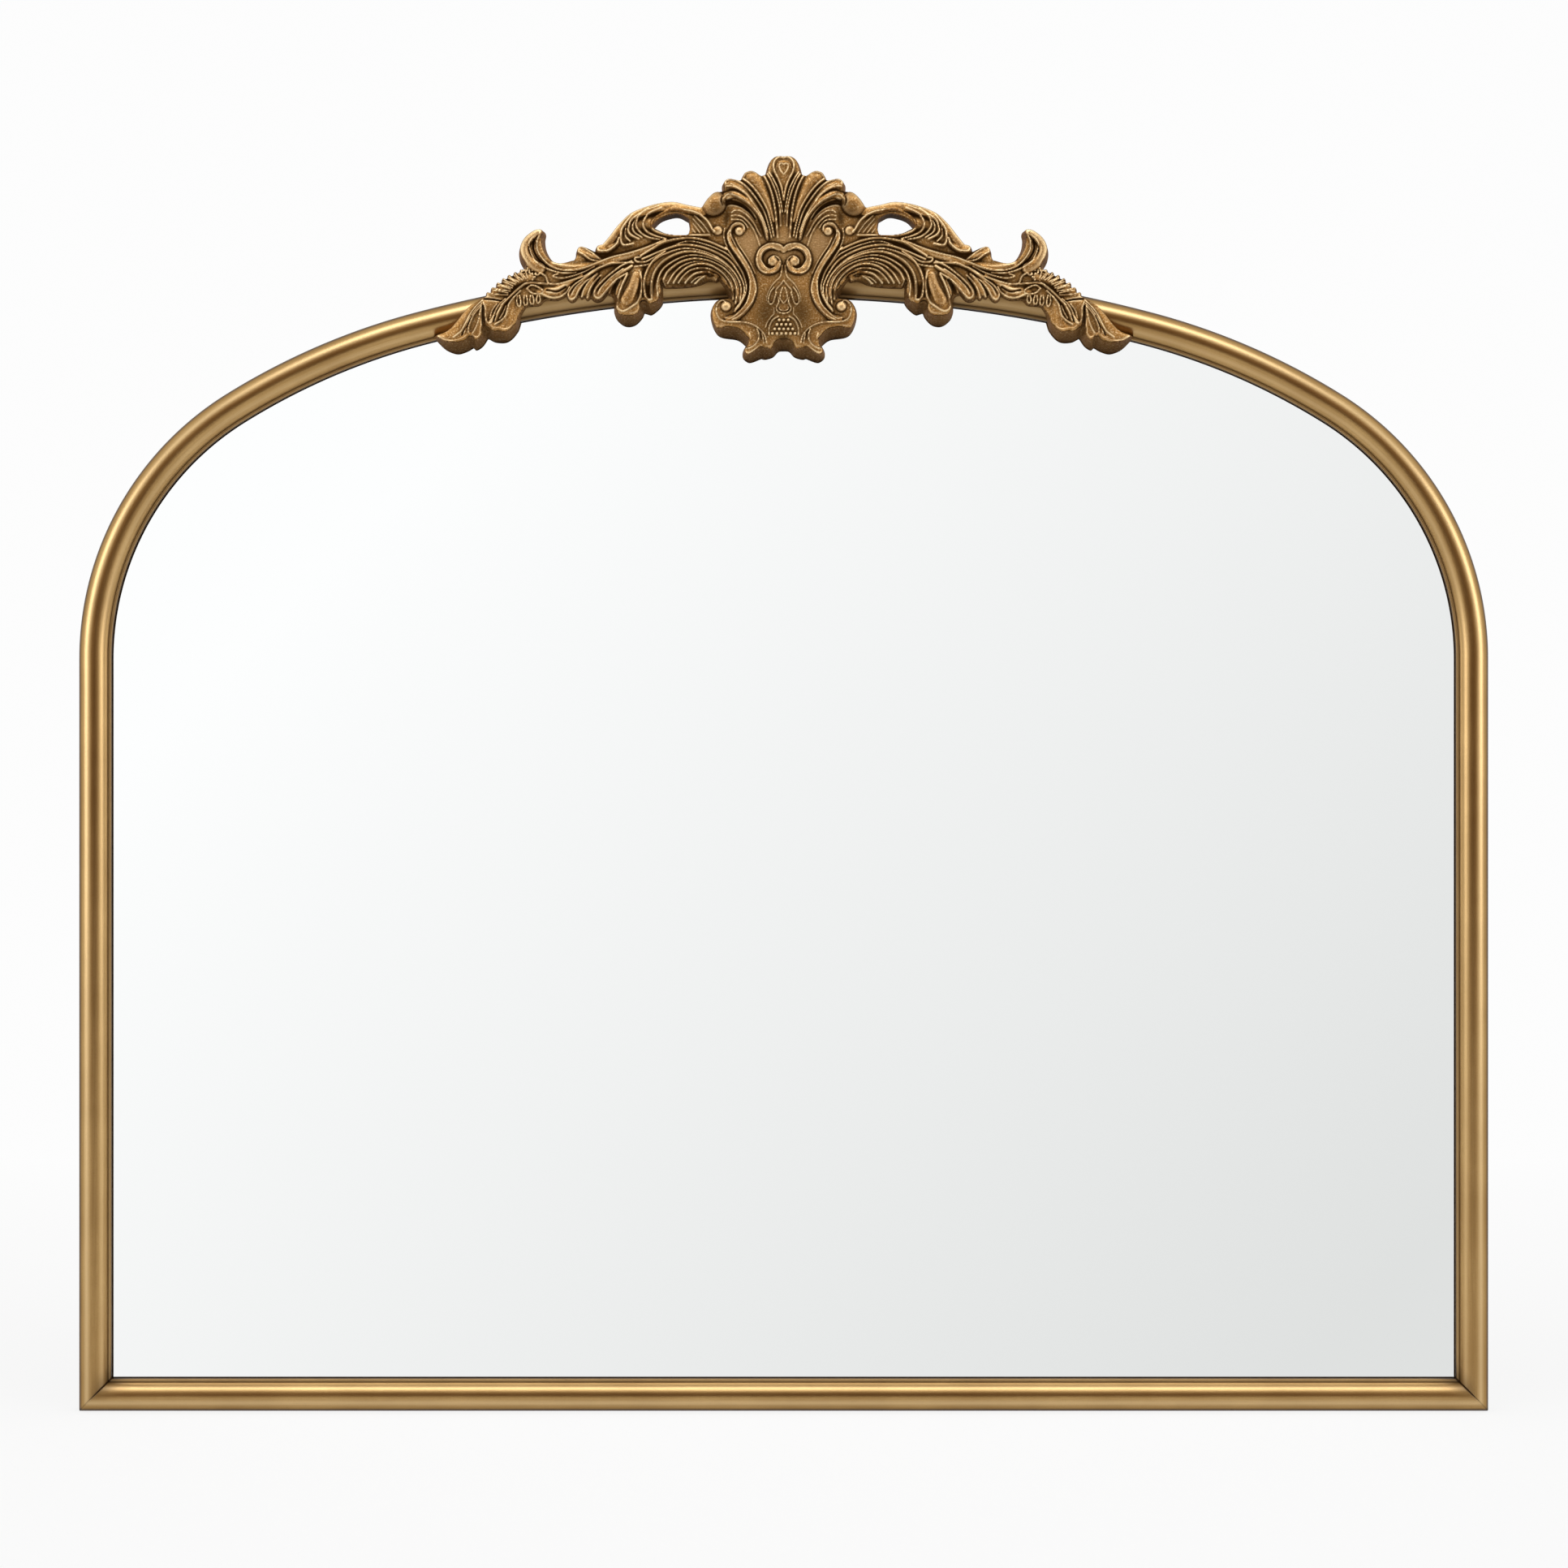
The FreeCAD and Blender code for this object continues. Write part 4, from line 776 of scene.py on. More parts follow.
    masses: list[Strand] = field(default_factory=lambda: [
        # Shell: the heart's lobe, the two broad flutes and the rolled one
        Strand([(0, 60), (0, 50), (0, 40)], 5.5, 1.0, 1.2, Cut.ROLL),
        Strand([(-19.5, 55), (-15, 47), (-10, 37), (-6.5, 26)], 6.0, 1.4, 1.5),
        Strand([(-34, 50), (-27, 47), (-19, 38), (-13, 28)], 4.4, 1.4, 1.5),
        Strand([(-37, 42), (-32, 43.2), (-26.2, 40.8), (-20.8, 36.6), (-16.5, 31.4), (-13.6, 26), (-11.5, 19.5),
                (-10.6, 15)], 2.5, 1.0, 2.6, Cut.ROLL),
        # Wing: the rim from the ball to the lip, and the hook with its stem
        Strand([(-52, 33), (-62, 34.5), (-71, 36.2), (-81, 35.2), (-91, 32.2), (-99, 28.5), (-106, 22),
                (-111.5, 14.5), (-117, 9)], 3.6, 3.4, 2.6, Cut.ROLL),
        Strand([(-157, -4.5), (-162.5, -1.5), (-166.5, 4), (-167.3, 9.5), (-164.5, 14.5), (-160.5, 18.3),
                (-156.5, 20.5)], 3.4, 2.6, 3.4, Cut.ROLL),
        # Body of the wing, of the fan and of the stem
        Strand([(-72, 22), (-86, 25), (-97, 22), (-106, 14)], 5.0, 7.0, 1.6),
        Strand([(-88, -12), (-82, -3), (-73, 4), (-62, 7.5), (-50, 6), (-39, 0), (-32, -9), (-29, -22)],
               6.0, 5.0, 1.6),
        Strand([(-76, 13), (-95, 5), (-117, -1), (-135, -3.5), (-148, -1)], 2.6, 3.6, 2.0),
        # Drop's pad, its lobe, and the leaf tips along the rail
        Strand([(-95, -9), (-97, -16), (-101, -25)], 3.0, 4.2, 2.8, Cut.ROLL),
        Strand([(-94, -6), (-98, -18), (-101, -30)], 5.0, 9.0, 1.4),
        Strand([(-98, -3), (-108, -9.5), (-114.5, -16.5), (-119, -21)], 1.6, 3.6, 1.8),
        Strand([(-118, -2.5), (-127, -10.5), (-133, -17.5), (-136.5, -22)], 1.6, 3.4, 1.8),
        Strand([(-120.5, -8), (-126, -16), (-129, -20.5)], 1.4, 2.4, 1.4),
        Strand([(-130, -9), (-140, -15), (-149, -19), (-157, -20.5)], 1.6, 4.0, 1.8),
        # Frond and the leaf at the tip
        Strand([(-163, -10), (-172, -12.5), (-181, -17), (-190, -21)], 4.0, 4.5, 1.6),
        Strand([(-182, -29), (-187, -37), (-190, -45)], 2.5, 4.5, 0.8),
        Strand([(-174, -24), (-177, -33), (-180, -43)], 2.5, 4.5, 0.8),
        # Lip and small leaf
        Strand([(-106, 12), (-113, 9.5), (-119.5, 8.5)], 3.0, 3.0, 1.6),
        Strand([(-119, 1.5), (-127, 5), (-132, 7.5)], 2.0, 3.2, 1.6),
        # Scroll with its volutes, and the paired volute of the middle
        Strand([(-25.6, 20.5), (-26.6, 22.9), (-29, 23.9), (-31.9, 23.3), (-34.2, 20.8), (-35.3, 17.5), (-34.6, 13),
                (-31.9, 8), (-28.2, 3.3), (-24.3, -3), (-21, -10), (-19.9, -16.5), (-20.2, -21.5), (-22, -27),
                (-26, -32), (-31, -36), (-35.5, -37.2)], 0.9, 2.2, 1.7, Cut.ROLL),
        Strand([(0, 7.2), (-2.5, 9), (-6, 9.9), (-10.5, 9.2), (-14.3, 6), (-16, 1.2), (-14.8, -3), (-11, -6),
                (-7.5, -6.3), (-4.3, -4.6), (-3, -1)], 1.8, 1.6, 1.8, Cut.ROLL),
    ])
    lines: list[Strand] = field(default_factory=lambda: [
        # Shell ribs
        Strand([(0, 67), (-2.5, 67.5), (-5, 66), (-6.5, 63), (-6, 58.5), (-4, 54), (-1.5, 48), (0, 41)],
               1.2, 1.0, 1.8),
        Strand([(0, 62.5), (-1.5, 63), (-3, 62), (-2, 58.5), (0, 56)], 0.9, 0.9, 1.0),
        Strand([(-9.5, 57.5), (-6.5, 52.5), (-3.5, 46), (-2, 38.5), (-1, 32)], 1.0, 0.8, 1.6),
        Strand([(-10.5, 56.5), (-7.5, 51), (-4.5, 43), (-2.5, 34), (-2, 23)], 1.0, 0.8, 1.8),
        Strand([(-26.5, 54.5), (-24, 57.5), (-19, 58), (-14, 56.5), (-10.5, 51), (-7.5, 43), (-5.5, 33), (-4.5, 23),
                (-4, 15.5)], 1.2, 0.9, 1.9),
        Strand([(-27, 54), (-22, 50), (-16.5, 43.5), (-11, 34), (-8, 24), (-6.5, 16.5)], 1.2, 0.9, 2.0),
        Strand([(-37.5, 50), (-37.5, 52), (-34, 53), (-29.5, 52), (-23.5, 47.5), (-17.5, 40), (-12.5, 31.5),
                (-9.5, 22), (-8, 15.5)], 1.2, 0.9, 1.9),
        Strand([(-37, 48.5), (-31, 47.5), (-24.5, 43), (-19, 36.5), (-14, 28), (-10, 18.5)], 1.1, 0.8, 1.8),
        Strand([(-34, 50), (-27.5, 46.5), (-21.5, 41), (-16, 33)], 0.7, 0.6, 0.9),
        Strand([(-38.4, 40.4), (-37, 42.3), (-34, 43.1), (-29.3, 41.2), (-24.7, 38.8), (-20.8, 35.7), (-17.8, 32.3),
                (-15, 28), (-12.7, 22.6), (-11.2, 17.2), (-10.4, 14.1)], 0.9, 0.8, 1.6),
        Strand([(-33.4, 31.5), (-31.7, 32.8), (-28.6, 32.8), (-24.7, 30.7), (-21.2, 27.2), (-18.5, 23.4),
                (-16.6, 19.5), (-14.7, 16.4)], 0.9, 0.7, 1.4),
        Strand([(-33.6, 29.4), (-30.9, 29.8), (-27, 28.8), (-23.2, 25.7), (-20.5, 22.2), (-18.1, 18), (-16.6, 14.1),
                (-15.4, 10.3)], 0.8, 0.6, 1.2),
        Strand([(-33.6, 27), (-30.1, 27), (-27, 26.3), (-24.7, 24.2), (-23.2, 21.8)], 0.7, 0.6, 1.0),
        # Scroll: its two arrises, the fine line beside it and its volutes
        Strand([(-34.5, 19.9), (-35.9, 18), (-36.3, 15.7), (-35.5, 12.6), (-34, 9.5), (-31.7, 6), (-29, 2.2),
                (-26.3, -1.7), (-23.9, -5.6), (-22.5, -9.4), (-21.8, -13.2), (-21.8, -17), (-22.2, -21),
                (-23.5, -25.5), (-25.8, -29.3), (-28.8, -32.8), (-32.2, -35.7), (-34.9, -36.8), (-37.6, -36.3)],
               0.8, 0.8, 1.5),
        Strand([(-25.5, 19.5), (-25.3, 21.8), (-26.6, 23.8), (-29, 24.9), (-31.7, 24.4), (-33.6, 22.2), (-34.2, 19.5),
                (-33.9, 16.4), (-32.6, 13.3), (-30, 8.3), (-27.3, 4.5), (-24.5, 0.2), (-22.1, -4), (-20.1, -8.3),
                (-18.6, -12.7), (-17.9, -17.4), (-18.3, -21.2), (-19.8, -25.5), (-22.5, -29.3), (-26, -33.2),
                (-29.5, -35.9), (-33, -37.6)], 0.8, 0.8, 1.5),
        Strand([(-30.9, 14.9), (-29, 10.6), (-26.2, 6.4), (-23.2, 1.8), (-20.6, -2.9), (-18.4, -7.9)],
               0.5, 0.5, 0.6),
        Strand([(-38, 21.1), (-38.6, 18), (-38.2, 14.1), (-37, 10.6), (-35.2, 7)], 0.6, 0.5, 0.9),
        # Paired volute
        Strand([(0, 8.3), (-1.9, 10.3), (-5.4, 11.4), (-9.3, 11.4), (-12.7, 9.9), (-15.4, 7.6), (-17, 4.5),
                (-17.6, 1), (-17, -2.5), (-15, -5.6), (-12, -7.5), (-8.5, -7.7), (-5, -6.3), (-2.7, -3.3),
                (-2.1, -0.6), (-3.1, 1.8), (-5.4, 3.3), (-7.7, 2.9), (-9.6, 1), (-9.6, -1.3)], 0.8, 0.7, 1.5),
        Strand([(-3, 7.2), (-8, 8.6), (-12.2, 7.2), (-14.3, 4.5), (-14.5, 1), (-13.3, -1.7), (-11.2, -4), (-8.5, -5),
                (-6.2, -4), (-5, -2.5)], 0.7, 0.6, 1.2),
        # Stem, husk, bowl and foot
        Strand([(-1.1, -2.7), (-1.5, -6.9), (-2.4, -10), (-5.1, -12.7), (-7.5, -15.4), (-9.4, -18.9), (-10.6, -22),
                (-11.1, -25.5)], 0.7, 0.5, 1.1),
        Strand([(0, -12.3), (-2.4, -15.4), (-4.8, -18.1), (-5.2, -19.5)], 0.7, 0.6, 1.3),
        Strand([(-6.3, -16.8), (-8, -18.9), (-9.4, -22), (-10, -25.5), (-8.8, -27.6), (-7.1, -27), (-5.9, -23.9),
                (-4.8, -20)], 0.7, 0.7, 1.6),
        Strand([(-0.9, -17), (-1.7, -19.3), (-2.4, -22.8), (-2.1, -24.7), (0, -27)], 0.6, 0.6, 1.2),
        Strand([(-3.4, -23.5), (-3.2, -26.2), (-4.4, -28.9), (-4.6, -30.9), (-3.2, -32.8), (0, -33.6)],
               0.7, 0.7, 1.4),
        Strand([(-3, -29.7), (-2.4, -31.2), (0, -31.8)], 0.5, 0.5, 1.0),
        Strand([(-6.3, -30.1), (-6.3, -33.6), (-8.2, -35.9), (-10.6, -39.4), (-11.7, -42.5)], 0.6, 0.5, 0.9),
        Strand([(-3.6, -35.5), (-6.7, -37.4), (-8.6, -40.5), (-9.6, -44), (-9.4, -47.1)], 0.8, 0.7, 1.5),
        Strand([(-37.6, -26.2), (-39.1, -24.9), (-41.3, -25.8), (-43, -28), (-43.5, -31.2), (-42.8, -34.3),
                (-41.3, -36.8), (-38.9, -38.3), (-34.9, -39), (-30.2, -39), (-25.6, -39.2), (-21, -40.3),
                (-17.1, -42.4), (-14, -45.2), (-12.1, -48.2), (-11.1, -52.1)], 0.8, 0.8, 1.6),
        Strand([(-17.1, -43.6), (-16, -47.1), (-16.4, -50.6), (-18.7, -53.6), (-21.8, -55.6), (-25, -56)],
               0.8, 0.8, 1.5),
        Strand([(-22.1, -46.3), (-21.6, -49), (-22.9, -53)], 0.7, 0.6, 1.0),
        Strand([(-14, -46.3), (-13.3, -49), (-12.9, -52.5)], 0.7, 0.6, 1.2),
        # Fan from the wing into the scroll: bright strands, then the soft ones between them
        Strand([(-92, 3.5), (-84.5, 8), (-76.5, 12.5), (-62, 15), (-49.5, 13), (-36.5, 7.5)], 1.3, 1.2, 2.4),
        Strand([(-91, 1.5), (-74, 8.5), (-63, 10.5), (-49.5, 8), (-36, 1), (-29, -8), (-25.5, -16.5), (-26.5, -24),
                (-31, -31)], 1.3, 1.1, 2.4),
        Strand([(-76.5, 6.3), (-83.5, 1), (-88, -6), (-90, -13.5), (-89.3, -21.5), (-87.5, -24.5), (-85, -24),
                (-85.3, -20), (-84.8, -12), (-82, -5), (-76, 1), (-66, 5.5), (-56, 5.8), (-46, 2.8), (-38, -1.5),
                (-31.5, -8), (-27.8, -16), (-28, -26)], 1.2, 1.1, 2.4),
        Strand([(-78.5, -14.5), (-75.5, -7.7), (-71, -3.3), (-65.4, 0), (-58, 1.7), (-51, 1), (-45.3, -0.8),
                (-38.8, -4.4), (-34.2, -9), (-31.3, -14), (-30.2, -20), (-31, -27)], 1.2, 1.0, 2.3),
        Strand([(-71, -13.7), (-67.8, -8.9), (-63, -4.5), (-58.2, -2.3), (-52.9, -1.5), (-46.9, -2.7), (-40.8, -6.3),
                (-36.4, -10.8), (-33.4, -16.5), (-32.6, -24.2)], 1.2, 1.0, 2.2),
        Strand([(-63.4, -13.7), (-61, -10.9), (-57.4, -8.1), (-52.5, -7), (-47.7, -7.3), (-42.9, -9.3),
                (-38.8, -12.9), (-36, -18), (-35, -22.5)], 1.2, 0.9, 2.1),
        Strand([(-57, -14.3), (-54, -11.5), (-50, -9)], 1.4, 1.0, 1.8),
        Strand([(-37.5, 9), (-36.3, 7.9), (-34, 4.5), (-31.6, 0.6), (-28.6, -4), (-26.4, -7.9), (-24.8, -12.7),
                (-24.1, -16.6), (-24.8, -21.2), (-26.4, -25), (-28.7, -28.9), (-31.4, -32)], 0.9, 0.9, 2.0),
        Strand([(-91.8, 2.9), (-95.8, 2), (-94.5, -0.2), (-89, -0.2), (-83.6, 2.5), (-76, 7.3), (-62.5, 12.8),
                (-49.5, 10.5), (-36.3, 4.5), (-30, -3)], 1.0, 0.9, 1.5),
        Strand([(-96, -3.4), (-93, -3), (-86, -1.5), (-78, 4), (-65, 8), (-53, 6.5), (-42, 2), (-34.5, -4),
                (-28.5, -12), (-26.7, -20), (-29, -29)], 0.9, 0.8, 1.4),
        Strand([(-81, -24), (-81.5, -14), (-78.5, -6), (-72, -0.5), (-63, 3.4), (-54, 3.6), (-45, 1), (-37, -3.8),
                (-32, -10), (-29.3, -17), (-29.5, -26)], 1.1, 0.8, 1.4),
        Strand([(-74.7, -14), (-70.5, -7.5), (-65, -2.8), (-58, -0.4), (-51.5, -0.5), (-45, -2.6), (-38.5, -6.8),
                (-34.5, -11.5), (-32, -17.5)], 0.9, 0.8, 1.3),
        Strand([(-67.8, -13.7), (-64.5, -9.3), (-60, -5.7), (-53.5, -4.3), (-47.5, -5), (-41.8, -8), (-37.3, -12.8),
                (-34.5, -19)], 0.9, 0.8, 1.3),
        Strand([(-59.5, -13.5), (-56, -10.8), (-52, -9.3)], 0.8, 0.7, 1.0),
        # Wing: inner line of the rim, leaves that curl from it, window rim, hatched recess, lip and small leaf
        Strand([(-45, 19), (-50, 27), (-57.5, 31.5), (-66, 33), (-73, 33), (-80, 30), (-84.5, 25.5), (-84.5, 21),
                (-79, 18), (-70, 16.5), (-60, 16.8), (-48, 17)], 1.3, 1.2, 1.9),
        Strand([(-79, 34.5), (-87.5, 30), (-90.5, 24), (-88.5, 19.5), (-83, 16.5), (-76, 14.5)], 1.2, 1.0, 1.8),
        Strand([(-80.5, 35.5), (-91, 31.5), (-95, 25), (-93.5, 20), (-88, 15.8), (-80, 14)], 1.1, 1.0, 1.6),
        Strand([(-87.5, 34), (-97, 27.5), (-100, 21.5), (-99, 17.5), (-93.5, 14.5)], 1.2, 1.3, 1.8),
        Strand([(-92, 31), (-97, 24), (-96.5, 19), (-91.5, 15.5)], 0.9, 1.0, 1.4),
        Strand([(-97.5, 30), (-103.5, 22), (-105, 14.5), (-103, 10.5), (-97, 11.5)], 1.2, 1.4, 1.8),
        Strand([(-101.5, 24), (-102, 16.5), (-99, 13)], 0.8, 0.9, 1.2),
        Strand([(-106, 15), (-108, 10.5), (-113, 7), (-118.5, 6.5), (-121, 8.5)], 1.2, 1.8, 2.0),
        Strand([(-133.5, 7.5), (-133, 9.3), (-130, 9.3), (-125, 6.5), (-122, 4.5), (-117.5, 0.5)], 1.0, 0.9, 1.7),
        Strand([(-133, 6.5), (-129.5, 4.5), (-124, 1), (-117.5, 0)], 1.0, 0.9, 1.6),
        Strand([(-60, 29), (-55.5, 24), (-51, 18.5)], 0.6, 0.6, 0.9),
        Strand([(-60.5, 26.5), (-57, 22.5), (-54, 18.5)], 0.6, 0.6, 0.9),
        Strand([(-57.5, 29.5), (-52.5, 24.5), (-48, 18.5)], 0.6, 0.6, 0.9),
        Strand([(-60.5, 23), (-57, 18.5)], 0.6, 0.6, 0.9),
        # Stem from the fan to the hook, and the line inside the hook's roll
        Strand([(-76, 14), (-87.2, 9.3), (-99, 5.5), (-110.8, 2.6), (-119.2, -0.8), (-127.6, -4.2), (-136, -5.8),
                (-143.6, -5.4), (-150.3, -2.9), (-155.4, 1.7), (-158.8, 7.6), (-158.9, 13.4), (-156.7, 18.2)],
               1.2, 0.9, 1.8),
        Strand([(-162.2, 17), (-164, 11), (-162.4, 4.3), (-157.9, -1.6), (-150.3, -5.6), (-142.8, -7.4),
                (-134, -7.2)], 0.8, 0.9, 1.3),
        Strand([(-97.3, -0.8), (-105, -1), (-112.4, -1.8), (-121.7, -5.8), (-129.3, -10), (-137.7, -12.6),
                (-146.1, -14.7), (-152, -14.3)], 1.1, 1.0, 1.7),
        Strand([(-122, -3.6), (-130, -7.4), (-137, -9.8), (-143.6, -10.8), (-148.7, -9.6), (-145.5, -8)],
               0.9, 0.8, 1.4),
        # Leaf tips along the rail, and the drop
        Strand([(-117.5, -3.7), (-123.4, -7.5), (-129.3, -11.3), (-135.2, -15.5), (-138.6, -20.2), (-138.7, -22.9),
                (-136.9, -24.4), (-134.3, -23), (-131.8, -18.5), (-127.6, -13.4), (-121.7, -9.2)], 1.1, 1.0, 1.9),
        Strand([(-136.6, -21.6), (-134, -16.8), (-129.5, -12.9)], 0.7, 0.6, 1.1),
        Strand([(-130.1, -22.3), (-128.4, -17.6), (-125.1, -12.6), (-120.5, -8.4)], 0.9, 0.8, 1.6),
        Strand([(-126.6, -23), (-125.2, -18.5), (-122.2, -13.4), (-118, -9)], 0.8, 0.7, 1.3),
        Strand([(-98.1, 0), (-104, -2.5), (-110.8, -7.5), (-116.7, -12.6), (-120.9, -17.6), (-122.2, -21.4),
                (-120, -23.5), (-117.3, -22.3), (-112.4, -16.8), (-107.4, -11.7), (-101, -7.6)], 1.1, 1.0, 1.9),
        Strand([(-119.6, -20.8), (-117.3, -16.6), (-110.8, -10), (-103.5, -4.8)], 0.8, 0.7, 1.4),
        Strand([(-156.2, -21), (-150.3, -23.1), (-144.5, -22.7), (-139.9, -19.8), (-137.9, -16.6)], 1.0, 0.9, 1.7),
        Strand([(-158.8, -8.8), (-156.2, -7.9), (-153.3, -10), (-151.2, -14.3), (-145, -15)], 0.9, 0.9, 1.5),
        Strand([(-101, -8.5), (-104.5, -16), (-107.3, -24.5), (-107.5, -29), (-104, -32), (-99, -30), (-93.3, -25),
                (-91.5, -17), (-92, -8), (-93, -6)], 1.3, 1.2, 2.0),
        # Frond: midrib, granular leaf and lower loops
        Strand([(-152, -14.5), (-164.5, -14), (-169.5, -16.5), (-174, -20.5), (-177.5, -24), (-181.5, -28),
                (-186, -34.5), (-190, -40)], 1.0, 1.2, 2.0),
        Strand([(-165.5, -17.5), (-163, -15.5), (-159.5, -16), (-155, -19), (-156.5, -21), (-162, -20.5),
                (-165.5, -17.5)], 0.9, 0.9, 1.6),
        # Leaf at the tip
        Strand([(-212.7, -48.7), (-207.8, -44.8), (-204.8, -39.5), (-202.1, -34.3), (-198.6, -29.4), (-194.2, -25)],
               1.0, 0.9, 1.6),
        Strand([(-206.1, -45.7), (-202.8, -37.8), (-198.6, -31.2), (-194.6, -27)], 0.8, 0.8, 1.5),
        Strand([(-194.6, -28.3), (-199.5, -34), (-202.4, -40.4), (-203.2, -45), (-201.6, -47.2), (-198.8, -43.5),
                (-196.6, -37.8), (-195.6, -32.5), (-193.8, -28)], 0.8, 0.8, 1.5),
        Strand([(-193.6, -26.2), (-192.1, -30.7), (-192.1, -35.1), (-191.6, -38.2), (-190.2, -40), (-188.1, -39.1),
                (-186.8, -36), (-185.5, -31.6), (-182.8, -27.2), (-179.3, -24.2)], 0.9, 0.8, 1.6),
        Strand([(-189.2, -36.5), (-187.8, -31.6), (-184.9, -27.5)], 0.7, 0.6, 1.1),
        Strand([(-186, -40.5), (-182, -38), (-179.2, -35), (-178, -31), (-177, -27.5), (-174.1, -23.5),
                (-169.7, -18.9)], 0.9, 0.9, 1.6),
        Strand([(-185.9, -37.8), (-183.3, -31.6), (-180.2, -27.2), (-176, -23.4)], 0.7, 0.7, 1.2),
        Strand([(-182.8, -36.6), (-180.6, -32.8), (-178.9, -28.6)], 0.6, 0.6, 1.0),
    ])
    grooves: list[Strand] = field(default_factory=lambda: [
        # Under the rolled flute, and behind its tip
        Strand([(-38, 37.6), (-33, 38.2), (-27, 36.2), (-22, 32.2), (-18.3, 27.2)], 2.8, 0.9, 2.4),
        Strand([(-39.6, 41.6), (-40.3, 38.8), (-39.3, 36)], 0.8, 0.8, 2.0),
        # Folds of the leaf at the tip
        Strand([(-194, -28.5), (-193.8, -34), (-193.4, -40), (-192, -47)], 0.9, 2.2, 4.0),
        Strand([(-193, -24), (-187, -24.5), (-181.5, -25.5)], 1.0, 0.8, 1.8),
        Strand([(-187.3, -38.8), (-185.4, -33.5), (-182.5, -29)], 1.1, 0.8, 2.0),
        Strand([(-207.5, -47.5), (-204.5, -42), (-201, -35)], 0.8, 0.7, 1.4),
        # Gaps between the leaf tips and beside the drop
        Strand([(-106.5, -12), (-109.5, -18), (-111, -24)], 1.6, 2.4, 3.5),
        Strand([(-118.5, -10.5), (-123, -17.5), (-124.2, -23)], 0.9, 1.2, 2.0),
        Strand([(-152.5, -18.6), (-146, -19.2), (-140.5, -16.4)], 1.3, 1.1, 2.0),
        Strand([(-161, 14), (-161.4, 8), (-158, 1.6), (-151.5, -3.6)], 1.1, 0.9, 1.6),
    ])
    shades: list[Strand] = field(default_factory=lambda: [
        # Painted shade: under the rolled flute, in the recess by the window, under the fan, beside the drop, low in
        # the middle, by the bulb and at the frond's root
        Strand([(-39, 36), (-33, 37.6), (-27, 35.8), (-22, 31.8), (-18, 26)], 5.0, 1.6, 1.1),
        Strand([(-36.5, 33), (-36.5, 29), (-37.5, 23)], 7.0, 4.0, 0.9),
        Strand([(-61, 27.5), (-54, 24), (-47, 18.8)], 4.0, 4.5, 0.8),
        Strand([(-78, -14.5), (-66, -14), (-56, -13), (-47, -11.5)], 5.0, 5.0, 0.9),
        Strand([(-107.5, -12), (-110.5, -20)], 3.2, 3.2, 1.0),
        Strand([(-9, -25), (-11, -33), (-12, -42)], 15.0, 15.0, 0.75),
        Strand([(0, -46), (0, -53)], 9.0, 9.0, 0.8),
        Strand([(-45.5, 31.5), (-40.5, 31.5)], 5.0, 4.0, 0.7),
        Strand([(-153, -12), (-160, -11)], 4.0, 4.0, 0.6),
    ])
    beads: list[Bead] = field(default_factory=lambda: [
        Bead((-45.4, 37.6), 8.2, 5.8),
        Bead((-28.6, 19.5), 2.9, 2.2),
        Bead((-37.2, -28.9), 3.3, 2.6),
        Bead((-6.9, 0), 3.1, 2.4),
        Bead((-42.5, 19.9), 3.1, 2.0),
    ])
    frond_roots: Spots = field(default_factory=lambda: [(-164, -10.5), (-171, -13), (-175.5, -17.5), (-178.5, -22)])
    frond_tips: Spots = field(default_factory=lambda: [(-166.5, -4.5), (-174, -7.2), (-182.5, -12), (-192.5, -21)])
    frond_leaflets: int = 7
    loop_roots: Spots = field(default_factory=lambda: [(-156, -22), (-173, -22)])
    loop_tips: Spots = field(default_factory=lambda: [(-156.5, -26), (-163, -27.5), (-172.5, -29)])
    loop_leaflets: int = 4
    berry_rows: int = 4
    berry_pitch: float = 2.9
    berry_top: float = -37.8
    berry_radius: float = 1.05
    berry_rise: float = 1.6
    grain_count: int = 46
    grain_seed: int = 7
    grain_centre: tuple[float, float] = (-164.8, -8.4)
    grain_spread: tuple[float, float] = (6.5, 4.2)
    grain_radius: float = 0.75
    grain_rise: float = 1.3
    leaflet_half: float = 1.25
    leaflet_line: float = 0.8
    leaflet_rise: float = 1.6

    def leaflets(self, roots: Spots, tips: Spots, count: int) -> list[Strand]:
        """Set out hairpin leaflets between a line of roots and a line of tips.

        Args:
            roots: line that the leaflets spring from.
            tips: line that they reach.
            count: how many there are.

        Returns:
            One hairpin strand per leaflet.
        """
        from_line = curve_points(roots, self.leaflet_step)
        to_line = curve_points(tips, self.leaflet_step)
        strands = []
        for at in range(count):
            share = (at + 0.5) / count
            root = from_line[round(share * (len(from_line) - 1))]
            tip = to_line[round(share * (len(to_line) - 1))]
            way = tip - root
            side = np.array([-way[1], way[0]]) / np.linalg.norm(way) * self.leaflet_half
            spots = [root + side * 0.5, root + way * 0.6 + side, tip + side * 0.4, tip - side * 0.4,
                     root + way * 0.6 - side, root - side * 0.5]
            strands.append(Strand([tuple(spot) for spot in spots], self.leaflet_line, self.leaflet_line,
                                  self.leaflet_rise))
        return strands

    def berries(self) -> list[Bead]:
        """Set out the cluster of berries in the bowl: staggered rows about the middle.

        Returns:
            One bead per berry of the left half.
        """
        beads = []
        for row in range(self.berry_rows):
            up = self.berry_top - row * self.berry_pitch
            for step in range(2 + row // 2):
                across = -(step + 0.5 * (row % 2)) * self.berry_pitch
                beads.append(Bead((across, up), self.berry_radius, self.berry_rise))
        return beads

